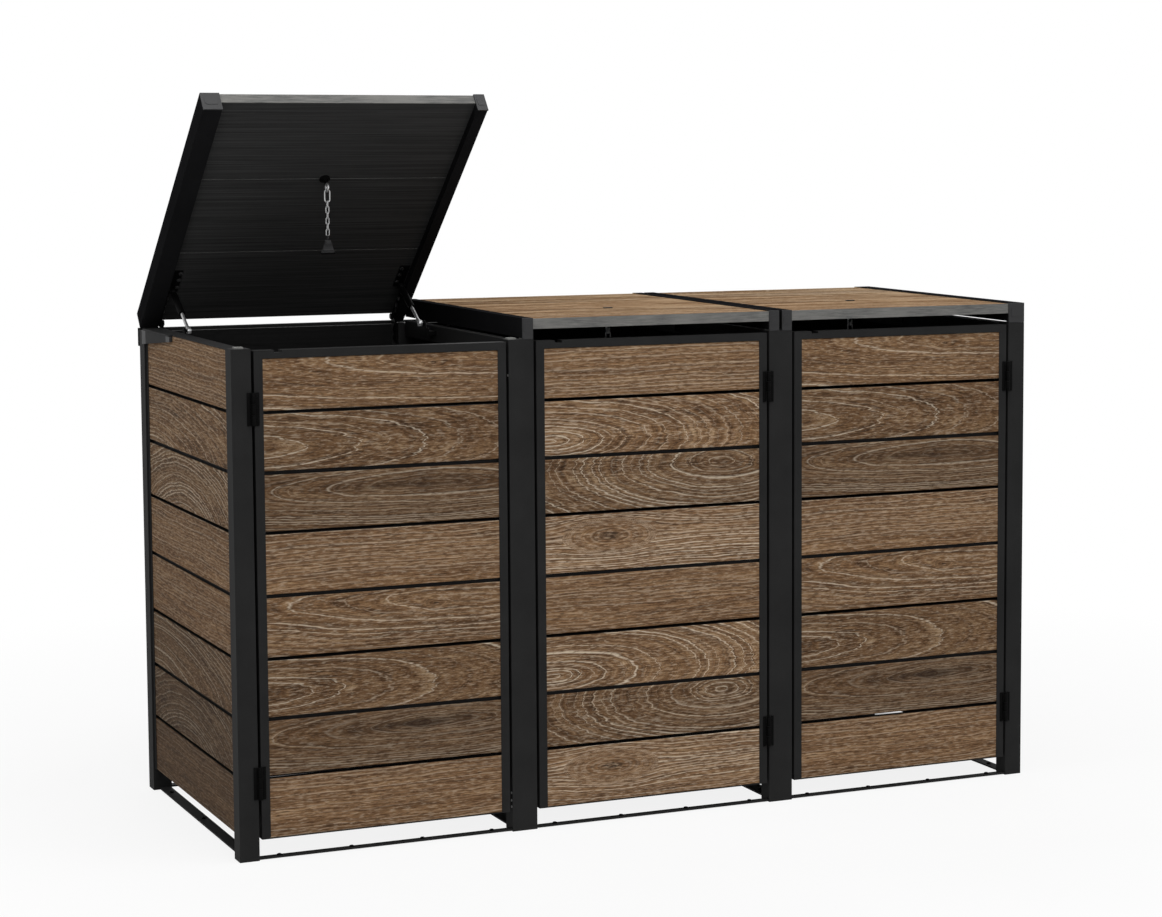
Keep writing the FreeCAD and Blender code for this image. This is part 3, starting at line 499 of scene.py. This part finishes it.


# %% Oak of the walls, the doors and the lids
# The lids' boards are the doors' oak made brighter, painted light from above.
LID_SEAMS, LID_DEPTH, LID_PAINTED_LIGHT = [0.2775, 0.555], 0.83, 1.18
LID_CARDS = [[PLAIN_LIGHT, ARCHES, PLAIN], [PLAIN, PLAIN_LIGHT, ZIGZAG], [PLAIN_LIGHT, PLAIN, BOWS]]
oak_doors = [oak("oak_door_%d" % (i + 1), facing_front(MIDS[i]), MIDDLE_DOOR if i == 1 else SIDE_DOOR,
                 SEAMS, BOTTOM, TOP) for i in range(3)]
oak_side = oak("oak_sides", facing_side, WALL, SEAMS, BOTTOM, TOP, gloss=0.03)
oak_back = oak("oak_back", facing_back, SIDE_DOOR, SEAMS, BOTTOM, TOP, bay=BAY)
oak_lids = []
for i in range(3):
    tilt = math.radians(LID_ANGLES[i])
    boards = [with_painted_light(card, LID_PAINTED_LIGHT) for card in LID_CARDS[i]]
    oak_lids.append(oak("oak_lid_%d" % (i + 1), lying(MIDS[i], LID_ANGLES[i]), boards,
                        LID_SEAMS, 0, LID_DEPTH, stripes=0.75, core_greys=(42, 64), gloss=0.0,
                        edge=(0, math.cos(tilt), -math.sin(tilt))))
print("oak finishes", len(oak_doors) + len(oak_lids) + 2)

# %% [markdown]
# ## Powder-coated metal and the small finishes
# The frame is powder coated in anthracite: a matt skin with a fine orange
# peel and a slight cloudiness, so its colour and gloss both wander a little.
# The same recipe with other numbers makes moulded plastic and rubber.

# %% Coats
def coat(name, dark, light, rough, peel=900.0, metal=0.0, spec=0.5, lines=None):
    """Two shades, a range of roughness and a fine peel, which is brushed where lines say so."""
    b = Bench(name)
    cloud = b.noise(b.place, 7.0, 3.0, 0.6)
    speck = b.noise(b.place, peel, 2.0, 0.7)
    shade = b.plus(b.times(cloud, 0.6), b.times(speck, 0.4))
    colour = b.ramp(shade, [(0.35, srgb(*dark)), (0.65, srgb(*light))])
    gloss = b.span(shade, 0.3, 0.7, *rough)
    height = speck
    if lines:
        streaks = b.noise(b.turn(b.place, scale=lines), 1.0, 3.0, 0.6)
        colour = b.mix(b.span(streaks, 0.4, 0.7), colour, srgb(*light))
        height = streaks
    b.bump(height, 0.00012, 0.6)
    return b.set(Base_Color=colour, Roughness=gloss, Metallic=metal, Specular_IOR_Level=spec)


anthracite = coat("anthracite_coat", (34, 34, 34), (41, 41, 41), rough=(0.5, 0.62), spec=0.02)
# The lid rails get a darker copy of the frame's coat, a painted shade that keeps their tops black.
painted_shade_rails = coat("lid_rail_coat", (23, 23, 24), (28, 28, 29), rough=(0.7, 0.85), spec=0.0)
edge_slate = coat("edge_band_coat", (70, 71, 71), (116, 115, 112), rough=(0.7, 0.85), spec=0.05,
                  lines=(22, 320, 320))
black_coat = coat("black_coat", (6, 6, 6), (10, 10, 10), rough=(0.4, 0.55), spec=0.03)
blackened = coat("blackened_steel", (16, 16, 17), (24, 24, 24), rough=(0.25, 0.38), spec=0.5)
black_moulded = coat("moulded_plastic", (32, 32, 33), (39, 39, 40), rough=(0.5, 0.65),
                     peel=420.0, spec=0.25)
grey_rubber = coat("grey_rubber", (100, 100, 98), (122, 122, 119), rough=(0.7, 0.85), peel=300.0)
zinc = coat("zinc_plate", (128, 129, 131), (182, 182, 182), rough=(0.25, 0.42), peel=500.0, metal=0.75,
            lines=(40, 400, 400))
print("coats", [m.name for m in bpy.data.materials if not m.name.startswith("oak")])

# %% Dress the nodes
SLOTS = {"frame_metal": anthracite, "rail_metal": anthracite, "edge_band": edge_slate,
         "black_metal": black_coat, "bright_metal": zinc, "black_plastic": black_moulded,
         "grey_rubber": grey_rubber}
slot_of = {part["node"]: part["material_slot"] for part in frame["record"]["subparts"]}


def dress(name, finish):
    """Give a CAD node its finish; only its material slots change."""
    mesh = nodes[name].data
    mesh.materials.clear()
    mesh.materials.append(finish)


planks = {"left_planks": oak_side, "right_planks": oak_side, "back_planks": oak_back}
for i in range(3):
    planks["door_%d_planks" % (i + 1)] = oak_doors[i]
    planks["lid_%d_boards" % (i + 1)] = oak_lids[i]
for name in nodes:
    # Lid rails take the darker coat with the painted shade.
    on_lid = name.startswith("lid_") and name.endswith("_rails")
    dress(name, planks.get(name) or (painted_shade_rails if on_lid else SLOTS[slot_of[name]]))
print("dressed", len(nodes), "nodes")

# %% [markdown]
# ## Shop tools for the new pieces
# The CAD model keeps its small round parts coarse, with ten flats each. The
# ones that show get a smooth twin here, modelled as by hand: a primitive at
# its size, faces picked by their place, extrude and inset, and a bevel on the
# sharp edges. A few short calls cover the steps that come back each time.

# %% Shop tools
HALF = 0.30225
SIDEWAYS = (0, math.pi / 2, 0)


def start(kind, **sizes):
    bpy.ops.object.select_all(action="DESELECT")
    getattr(bpy.ops.mesh, "primitive_%s_add" % kind)(**sizes)
    return bpy.context.object


def pick(piece, wanted):
    """Edit mode, with just the faces selected that pass the test."""
    bpy.ops.object.mode_set(mode="EDIT")
    bpy.ops.mesh.select_mode(type="FACE")
    bpy.ops.mesh.select_all(action="DESELECT")
    bpy.ops.object.mode_set(mode="OBJECT")
    for face in piece.data.polygons:
        face.select = wanted(face.center, face.normal)
    bpy.ops.object.mode_set(mode="EDIT")


def push(rise, widen=1.0, at=0.0):
    """Extrude the picked face along Z, then widen it about the piece's own axis."""
    bpy.ops.mesh.extrude_region_move(TRANSFORM_OT_translate={"value": (0, 0, rise)})
    if widen != 1.0:
        bpy.ops.transform.resize(value=(widen, widen, 1), center_override=(0, 0, at))


def soften(piece, width, segments=2):
    """Back to object mode, with every sharp edge rounded by a bevel."""
    if piece.mode == "EDIT":
        bpy.ops.object.mode_set(mode="OBJECT")
    bevel = piece.modifiers.new("soften", "BEVEL")
    bevel.width, bevel.segments, bevel.limit_method = width, segments, "ANGLE"
    bevel.angle_limit = math.radians(40)
    bpy.ops.object.modifier_apply(modifier="soften")
    bpy.ops.object.transform_apply(location=True, rotation=True, scale=True)
    return piece


def copy_to(model, place):
    """A copy with a mesh of its own, carried to its place in that mesh."""
    twin = model.copy()
    twin.data = model.data.copy()
    twin.data.transform(place)
    bpy.context.scene.collection.objects.link(twin)
    return twin


def gather(parts):
    bpy.ops.object.select_all(action="DESELECT")
    for part in parts:
        part.select_set(True)
    bpy.context.view_layer.objects.active = parts[0]
    if len(parts) > 1:
        bpy.ops.object.join()
    return parts[0]


def fit(parts, name, body, slot, finish, *stands_for):
    """Join the parts, dress the piece and let it ride on its body."""
    piece = gather(parts)
    bpy.ops.object.shade_smooth_by_angle(angle=math.radians(35))
    piece.name = piece.data.name = name
    piece.data.materials.clear()
    piece.data.materials.append(finish)
    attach(piece, body)
    if stands_for:
        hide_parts(*stands_for)
    print(name, len(piece.data.polygons), "faces on", body)
    return piece


def move(x, y, z):
    return Matrix.Translation((x, y, z))


def lid_turn(k):
    """Where lid k stands: turned about its pin, the first one open and the others shut."""
    turn = Matrix.Rotation(math.radians(-LID_ANGLES[k]), 4, "X")
    return Matrix.Translation(PIN) @ turn @ Matrix.Translation(-PIN)


print("bays at", MIDS, "each", 2 * HALF, "clear")

# %% [markdown]
# ## Gas struts
# Each lid is pushed up by two gas struts. The black tube is on the lid's side
# and the bright rod on the frame's, with an eye across each end. A strut is
# turned work, so each part starts as a cylinder and its end face is extruded
# step by step: shoulder, neck, mouth and bore. The rod's length depends on
# how far its lid is open, which is the only thing that differs.

# %% Strut parts
TUBE_R, ROD_R, PISTON_R = 0.008, 0.0039, 0.0062
TUBE_LEN = 0.09577
STRUT_LEN = [0.167207, 0.11277, 0.11277]
PISTON_AT = [0.08877, 0.03433, 0.03433]


def strut_eye():
    """The round eye across the end, bored for its stud."""
    eye_end = start("cylinder", vertices=32, radius=TUBE_R, depth=0.009, rotation=SIDEWAYS)
    pick(eye_end, lambda at, out: abs(out.z) > 0.9)
    bpy.ops.mesh.inset(thickness=0.00395, use_individual=True)
    bpy.ops.mesh.bridge_edge_loops()
    return soften(eye_end, 0.0007)


tube = start("cylinder", vertices=32, radius=TUBE_R, depth=TUBE_LEN - 0.016,
             location=(0, 0, (TUBE_LEN + 0.016) / 2))
bpy.ops.object.transform_apply(location=True)
pick(tube, lambda at, out: out.z < -0.9)
push(-0.004, 4.2 / 8, 0.012)
push(-0.0055)
pick(tube, lambda at, out: out.z > 0.9 and at.z > 0.09)
bpy.ops.mesh.inset(thickness=0.0012)
push(0.0006)
bpy.ops.mesh.inset(thickness=0.0027)
push(-0.0066)
push(-0.0001, 6.6 / 4.1, TUBE_LEN - 0.006)
push(-0.0622)
soften(tube, 0.0005)
tube_model = gather([tube, strut_eye()])
print("tube", len(tube_model.data.polygons))

# %% Rods, one length for an open lid and one for a shut one
rod_models = {}
for length, piston in sorted(set(zip(STRUT_LEN, PISTON_AT))):
    rod = start("cylinder", vertices=32, radius=PISTON_R, depth=0.006, location=(0, 0, piston - 0.003))
    bpy.ops.object.transform_apply(location=True)
    pick(rod, lambda at, out: out.z > 0.9)
    push(0.0, ROD_R / PISTON_R, piston)
    push(length - 0.0155 - piston)
    push(0.0010, 1.25, 0)
    push(0.0045)
    push(0.0010, 1.12, 0)
    push(0.0020)
    soften(rod, 0.0004)
    rod_eye = strut_eye()
    rod_eye.data.transform(move(0, 0, length))
    rod_models[length] = gather([rod, rod_eye])
print("rods", sorted(rod_models))

# %% Struts in their places, each from the stud on its lid towards the ball on the frame
ball, stud = Vector((0, 0.580 + FRONT, 1.153)), Vector((0, 0.6925 + FRONT, 1.1608))
for k in range(3):
    n, top = k + 1, lid_turn(k) @ stud
    lean = math.atan2(-(ball - top).y, (ball - top).z)
    turn = Matrix.Rotation(lean, 4, "X")
    seats = [move(MIDS[k] + side * (HALF - 0.013), top.y, top.z) @ turn for side in (-1, 1)]
    fit([copy_to(tube_model, seat) for seat in seats], "lid_%d_tubes" % n, "lid_%d_tubes" % n,
        "black_metal", black_coat, "lid_%d_strut_tubes" % n)
    fit([copy_to(rod_models[STRUT_LEN[k]], seat) for seat in seats], "lid_%d_rods" % n, "lid_%d_rods" % n,
        "bright_metal", zinc, "lid_%d_strut_rods" % n)
for model in [tube_model] + list(rod_models.values()):
    bpy.data.objects.remove(model)

# %% [markdown]
# ## Screws and bolts
# Small fasteners say how a thing is held together. Two kinds are enough: a
# button head with a round recess, which is a cylinder whose top face is inset
# and pushed in, and a countersunk head with a cross, which two bars cut out of
# a flat disc. Each is made once and copied to its places.

# %% Fastener models
def button_head(radius, height):
    head = start("cylinder", vertices=24, radius=radius, depth=height, location=(0, 0, height / 2))
    bpy.ops.object.transform_apply(location=True)
    pick(head, lambda at, out: out.z > 0.9)
    bpy.ops.mesh.inset(thickness=radius * 0.28)
    bpy.ops.transform.translate(value=(0, 0, height * 0.35))
    bpy.ops.mesh.inset(thickness=radius * 0.30)
    push(-height * 0.7)
    return soften(head, radius * 0.06)


def cross_head(radius):
    head = start("cylinder", vertices=24, radius=radius, depth=0.0007, location=(0, 0, 0.00015))
    bpy.ops.object.transform_apply(location=True)
    soften(head, radius * 0.05)
    cuts = []
    for angle in (0, math.pi / 2):
        bar = start("cube", size=1, location=(0, 0, 0.0005), rotation=(0, 0, angle + math.pi / 4))
        bar.scale = (radius * 1.2, radius * 0.26, 0.0006)
        bpy.ops.object.transform_apply(location=True, rotation=True, scale=True)
        cuts.append(bar)
    for bar in cuts:
        cut = head.modifiers.new("cross", "BOOLEAN")
        cut.object, cut.operation = bar, "DIFFERENCE"
        bpy.context.view_layer.objects.active = head
        bpy.ops.object.modifier_apply(modifier="cross")
        bpy.data.objects.remove(bar)
    return head


bolt_model = button_head(0.0052, 0.0028)
screw_model = cross_head(0.0030)
print("fasteners", len(bolt_model.data.polygons), len(screw_model.data.polygons))

# %% Bolts on the low bars, the brackets and the straps
def facing(way):
    """Turn +Z of a fastener to look along way."""
    return Vector(way).to_track_quat("Z", "Y").to_matrix().to_4x4()


BAR_TOP, BARS = 0.0054, (-0.98425, -0.33275, 0.33275, 0.98425)
low = [move(middle + part * 2 * HALF, 0.0125 + FRONT, BAR_TOP)
       for middle in MIDS for part in (-0.42, -0.14, 0.14, 0.42)]
low += [move(x, t + FRONT, BAR_TOP) for x in BARS for t in (0.11, 0.42, 0.72)]
fit([copy_to(bolt_model, place) for place in low], "low_bar_bolts", "frame", "black_metal", black_coat)
for k in range(3):
    places = []
    for side in (-1, 1):
        for t in (0.6325, 0.6585, 0.6865):
            places.append(move(MIDS[k] + side * (HALF - 0.023), t + FRONT, 1.1713) @ facing((0, 0, -1)))
        for t in (0.722, 0.748, 0.774):
            places.append(move(MIDS[k] + side * (HALF - 0.0025), t + FRONT, 1.1632) @ facing((-side, 0, 0)))
    fit([copy_to(bolt_model, lid_turn(k) @ place) for place in places], "lid_%d_bracket_bolts" % (k + 1),
        "lid_%d" % (k + 1), "black_metal", blackened)
bpy.data.objects.remove(bolt_model)

# %% [markdown]
# ## Door hinges
# A door hangs on two butt hinges. A butt hinge is two plates with knuckles
# that mesh on one pin: the post's plate has the outer two, the door's plate
# the middle one. Each plate starts as a cube and each knuckle as a cylinder;
# the bevels catch the light that shows where one knuckle ends.

# %% Hinges
HINGE_HIGH = 0.074


def hinge_half(away, thirds):
    """One plate and its knuckles round the axis x = 0, y = -5 mm."""
    plate = start("cube", size=1, location=(away * 0.00975, -0.001, 0))
    plate.scale = (0.0085, 0.002, HINGE_HIGH)
    bpy.ops.object.transform_apply(location=True, scale=True)
    parts = [soften(plate, 0.0004)]
    for third in thirds:
        z = (third - 1) * HINGE_HIGH / 3
        knuckle = start("cylinder", vertices=32, radius=0.005, depth=0.02427, location=(0, -0.005, z))
        bpy.ops.object.transform_apply(location=True)
        pick(knuckle, lambda at, out: abs(out.z) > 0.9)
        bpy.ops.mesh.inset(thickness=0.0022, use_individual=True)
        parts.append(soften(knuckle, 0.0006))
        web = start("cube", size=1, location=(away * 0.00275, -0.00105, z))
        web.scale = (0.0055, 0.0019, 0.0241)
        bpy.ops.object.transform_apply(location=True, scale=True)
        parts.append(soften(web, 0.0002))
    for z in (-0.026, 0.0, 0.026):
        parts.append(copy_to(screw_model, move(away * 0.0098, -0.002, z) @ facing((0, -1, 0))))
    return gather(parts)


HEIGHTS = (0.1765, 1.0165)
AXES, HANDS = (-0.9645, 0.2990, 0.9645), (-1, 1, 1)
halves = {(away, post): hinge_half(away, (0, 2) if post else (1,))
          for away in (-1, 1) for post in (True, False)}
seats = [(k, AXES[k], z) for k in range(3) for z in HEIGHTS]
fit([copy_to(halves[HANDS[k], True], move(x, FRONT, z)) for k, x, z in seats],
    "post_hinge_halves", "frame", "black_metal", black_coat, "door_hinges")
for k in range(3):
    n = k + 1
    fit([copy_to(halves[-HANDS[k], False], move(AXES[k], FRONT, z)) for z in HEIGHTS],
        "door_%d_hinge_halves" % n, "door_%d" % n, "black_metal", black_coat, "door_%d_leaves" % n)
for model in halves.values():
    bpy.data.objects.remove(model)

# %% Screws of the door stops and of the first bay's post
stops = []
for k in range(3):
    side = -HANDS[k]
    for z in (0.135, 0.37, 0.60, 0.83, 1.065):
        stops.append(move(MIDS[k] + side * (HALF - 0.0068), FRONT + 0.0334, z) @ facing((0, 1, 0)))
for z in (0.058, 0.073, 0.091, 1.068):
    stops.append(move(-0.36325, FRONT + 0.007, z) @ facing((-1, 0, 0)))
fit([copy_to(screw_model, place) for place in stops], "stop_screws", "frame", "bright_metal", zinc)
bpy.data.objects.remove(screw_model)

# %% [markdown]
# ## Eye, chain and clip
# A short chain hangs from an eye in the middle of each lid and ends in a
# sprung clip, which takes hold of what stands in the bay so that it opens
# with the lid. A link is a torus pulled long: its upper half is picked and
# moved up, its lower half down.

# %% Links
def link(straight, bend, wire, twist):
    """A link with its middle at the origin, standing in XZ, or in YZ when twisted."""
    loop = start("torus", major_radius=bend, minor_radius=wire, major_segments=28, minor_segments=12,
                 rotation=(math.pi / 2, 0, 0))
    bpy.ops.object.transform_apply(rotation=True)
    for sign in (1, -1):
        pick(loop, lambda at, out: at.z * sign > 0)
        bpy.ops.transform.translate(value=(0, 0, sign * straight / 2))
    bpy.ops.object.mode_set(mode="OBJECT")
    if twist:
        loop.data.transform(Matrix.Rotation(math.pi / 2, 4, "Z"))
    return loop


# Straight part, bend and wire of each kind of link. LOOSE is the play where two of them hang together.
BIG, SMALL, CLIP_LOOP = (0.017, 0.0062, 0.0018), (0.009, 0.0036, 0.0014), (0.004, 0.0042, 0.0014)
RING_R, RING_WIRE, LOOSE = 0.009, 0.0026, 0.0001
LINKS = 7


def chain_heights():
    """Middles of the links below the ring's centre, then where the clip's loop begins."""
    top = -RING_R + RING_WIRE + BIG[2] + LOOSE
    middles = []
    for i in range(LINKS):
        size = SMALL if i else BIG
        reach = size[0] / 2 + size[1]
        middles.append(top - reach)
        low_wire = top - 2 * reach
        top = low_wire + size[2] + SMALL[2] + LOOSE
    return middles, low_wire + SMALL[2] + CLIP_LOOP[2] + LOOSE


link_at, clip_top = chain_heights()
link_models = [link(*BIG, False), link(*SMALL, True), link(*SMALL, False)]
link_parts = [copy_to(link_models[0], move(0, 0, link_at[0]))]
for i in range(1, LINKS):
    link_parts.append(copy_to(link_models[1 if i % 2 else 2], move(0, 0, link_at[i])))
chain_model = gather(link_parts)
for model in link_models:
    bpy.data.objects.remove(model)
print("chain", len(chain_model.data.polygons))

# %% Clip: two sprung jaws with a ridge and a lip, a barrel and its loop
def jaw(side):
    plate = start("cube", size=1, location=(0, side * 0.0015, -0.017))
    plate.scale = (0.034, 0.0026, 0.034)
    bpy.ops.object.transform_apply(location=True, scale=True)
    pick(plate, lambda at, out: out.z > 0.9)
    bpy.ops.transform.resize(value=(10 / 34, 1, 1), center_override=(0, 0, 0))
    for height in (-0.009, -0.023, -0.0255, -0.029):
        pick(plate, lambda at, out: True)
        bpy.ops.mesh.bisect(plane_co=(0, 0, height), plane_no=(0, 0, 1))
    pick(plate, lambda at, out: out.y * side > 0.9 and -0.0255 < at.z < -0.023)
    bpy.ops.mesh.extrude_region_move(TRANSFORM_OT_translate={"value": (0, side * 0.0008, 0)})
    pick(plate, lambda at, out: out.y * side > 0.9 and -0.023 < at.z < -0.009)
    bpy.ops.mesh.inset(thickness=0.0018)
    bpy.ops.transform.translate(value=(0, -side * 0.0006, 0))
    return soften(plate, 0.0004)


neck = clip_top - 2 * (CLIP_LOOP[0] / 2 + CLIP_LOOP[1])
clip_parts, lip_parts = [], []
for side in (-1, 1):
    open_jaw = Matrix.Rotation(math.radians(-side * 6), 4, "X")
    turn = move(0, side * 0.0002, neck - 0.034) @ open_jaw @ move(0, 0, 0.034)
    plate = jaw(side)
    plate.data.transform(turn)
    clip_parts.append(plate)
    lip = start("cube", size=1, location=(0, side * 0.0018, -0.0318))
    lip.scale = (0.0345, 0.0034, 0.0042)
    bpy.ops.object.transform_apply(location=True, scale=True)
    soften(lip, 0.0011, 3).data.transform(turn)
    lip_parts.append(lip)
barrel = start("cylinder", vertices=24, radius=0.0044, depth=0.016, rotation=SIDEWAYS)
pick(barrel, lambda at, out: abs(out.z) > 0.9)
bpy.ops.mesh.inset(thickness=0.0016, use_individual=True)
soften(barrel, 0.0006).data.transform(move(0, 0, neck - 0.009))
clip_loop = link(*CLIP_LOOP, True)
clip_loop.data.transform(move(0, 0, clip_top - CLIP_LOOP[0] / 2 - CLIP_LOOP[1]))
clip_model, lip_model = gather(clip_parts + [barrel, clip_loop]), gather(lip_parts)
print("clip", len(clip_model.data.polygons))

# %% Eye plate, ring and the flat head on top of the lid
plate = start("cylinder", vertices=48, radius=0.0130, depth=0.0025, location=(0, 0, 0.02625))
bpy.ops.object.transform_apply(location=True)
pick(plate, lambda at, out: out.z < -0.9)
bpy.ops.mesh.inset(thickness=0.003)
push(-0.0012, 0.85, 0)
bpy.ops.mesh.inset(thickness=0.0042)
push(-0.0015, 0.9, 0)
soften(plate, 0.0005)
head = start("cube", size=1, location=(0, 0, 0.0527))
head.scale = (0.022, 0.010, 0.0024)
bpy.ops.object.transform_apply(location=True, scale=True)
soften(head, 0.0005)
shank = start("cylinder", vertices=24, radius=0.003, depth=0.0395, location=(0, 0, 0.0312))
bpy.ops.object.transform_apply(location=True)
soften(shank, 0.0003)
plate_model = gather([plate, head, shank])
ring_model = start("torus", major_radius=RING_R, minor_radius=RING_WIRE, major_segments=40,
                   minor_segments=14, rotation=SIDEWAYS)
bpy.ops.object.transform_apply(rotation=True)
print("eye", len(plate_model.data.polygons) + len(ring_model.data.polygons))

# %% Eyes in their places: the eye turns with its lid, the chain and the clip hang upright
EYE_Y, EYE_Z = LID_SEAMS[0] + FRONT, 1.1458
for k in range(3):
    n, on_lid = k + 1, lid_turn(k) @ move(MIDS[k], EYE_Y, EYE_Z)
    hung = move(*(lid_turn(k) @ Vector((MIDS[k], EYE_Y, EYE_Z))))
    lid, clip = "lid_%d" % n, "lid_%d_clip" % n
    fit([copy_to(plate_model, on_lid)], lid + "_eye_plate", lid, "black_metal", black_coat, lid + "_eye")
    fit([copy_to(ring_model, on_lid)], lid + "_eye_ring", lid, "bright_metal", zinc)
    fit([copy_to(chain_model, hung)], lid + "_links", lid + "_chain", "bright_metal", zinc, lid + "_chain")
    fit([copy_to(clip_model, hung)], lid + "_sprung_clip", clip, "black_plastic", black_moulded, clip)
    fit([copy_to(lip_model, hung)], clip + "_lips", clip, "black_plastic", black_coat)
for model in (plate_model, ring_model, chain_model, clip_model, lip_model):
    bpy.data.objects.remove(model)

# %% [markdown]
# ## Studio
# A photograph for a catalogue is lit by big soft lamps in a white room. The
# strongest hangs above and the key lamp stands in front. A fill lamp at the
# right, a small one at the left wall and one behind the store lift what these
# two leave dark, and a weak world fills the rest. White behind and white on
# the floor are only seen by the camera and in reflections, so they add no
# light; under the store the glow is taken away, a painted shade on the floor.

# %% Floor
bpy.ops.mesh.primitive_plane_add(size=24, location=(0, 0, -0.0005))
floor = bpy.context.object
floor.name = "studio_floor"
b = Bench("studio_floor")
rays = b.add("ShaderNodeLightPath").outputs
seen = b.larger(rays["Is Camera Ray"], rays["Is Glossy Ray"])
glow = b.add("ShaderNodeEmission")
glow.inputs["Color"].default_value = (1, 1, 1, 1)
haze = b.noise(b.place, 1.5, 2.0)
b.set(Base_Color=b.ramp(haze, [(0.3, (0.62, 0.62, 0.62)), (0.7, (0.68, 0.68, 0.68))]), Roughness=0.9)
x, y, z = b.split(b.place)
far = b.span(b.sum("SQRT", b.squares(x, y)), 1.3, 3.0, 0.86, 1.0)
# Painted shade: deep inside the store the floor's glow is taken away, so it stays dark. The glow fades from
# the doors and the left wall inwards, and comes back just beyond the other two sides, a soft painted shadow
# there.
under = b.times(b.span(x, -0.86, -0.60), b.span(x, 1.16, 1.03))
under = b.times(under, b.times(b.span(y, -0.22, 0.0), b.span(y, 0.54, 0.42)))
glow_part = b.times(far, b.minus(1.0, under))
blend = b.add("ShaderNodeMixShader")
b.put(blend.inputs[0], b.times(seen, glow_part))
b.put(blend.inputs[1], b.shader.outputs[0])
b.put(blend.inputs[2], glow.outputs[0])
b.put(b.tree.nodes["Material Output"].inputs[0], blend.outputs[0])
floor.data.materials.append(b.finish)
print("floor", floor.name)

# %% World and lamps
world = bpy.data.worlds.new("studio_world")
bpy.context.scene.world = world
world.use_nodes = True
wires = world.node_tree
ground = wires.nodes["Background"]
ground.inputs["Color"].default_value = (1, 1, 1, 1)
white = wires.nodes.new("ShaderNodeBackground")
white.inputs["Color"].default_value = (1, 1, 1, 1)
white.inputs["Strength"].default_value = 1.0
ground.inputs["Strength"].default_value = 0.30
paths = wires.nodes.new("ShaderNodeLightPath")
seen = None
for ray in ("Is Camera Ray", "Is Glossy Ray", "Is Transmission Ray"):
    either = wires.nodes.new("ShaderNodeMath")
    either.operation = "MAXIMUM"
    wires.links.new(paths.outputs[ray], either.inputs[0])
    either.inputs[1].default_value = 0.0
    if seen:
        wires.links.new(seen, either.inputs[1])
    seen = either.outputs[0]
choose = wires.nodes.new("ShaderNodeMixShader")
wires.links.new(seen, choose.inputs[0])
wires.links.new(ground.outputs[0], choose.inputs[1])
wires.links.new(white.outputs[0], choose.inputs[2])
wires.links.new(choose.outputs[0], wires.nodes["World Output"].inputs[0])


def lamp(name, place, aim, size, power):
    light = bpy.data.lights.new(name, "AREA")
    light.shape, light.size, light.energy = "SQUARE", size, power
    body = bpy.data.objects.new(name, light)
    body.location = place
    body.rotation_euler = (Vector(aim) - Vector(place)).to_track_quat("-Z", "Y").to_euler()
    bpy.context.scene.collection.objects.link(body)


lamp("key_lamp", (-1.0, -7.5, 4.8), (0, 0, 0.7), 4.0, 185)
lamp("side_lamp", (-3.0, -0.5, 3.2), (-1.0, -0.1, 1.0), 1.2, 27)
lamp("fill_lamp", (5.5, -4.0, 4.0), (0, 0, 0.7), 3.0, 60)
lamp("top_lamp", (0.3, -2.0, 7.2), (0, 0, 0.9), 4.0, 320)
lamp("back_lamp", (1.0, 7.0, 6.0), (0, 0, 0.7), 5.0, 150)
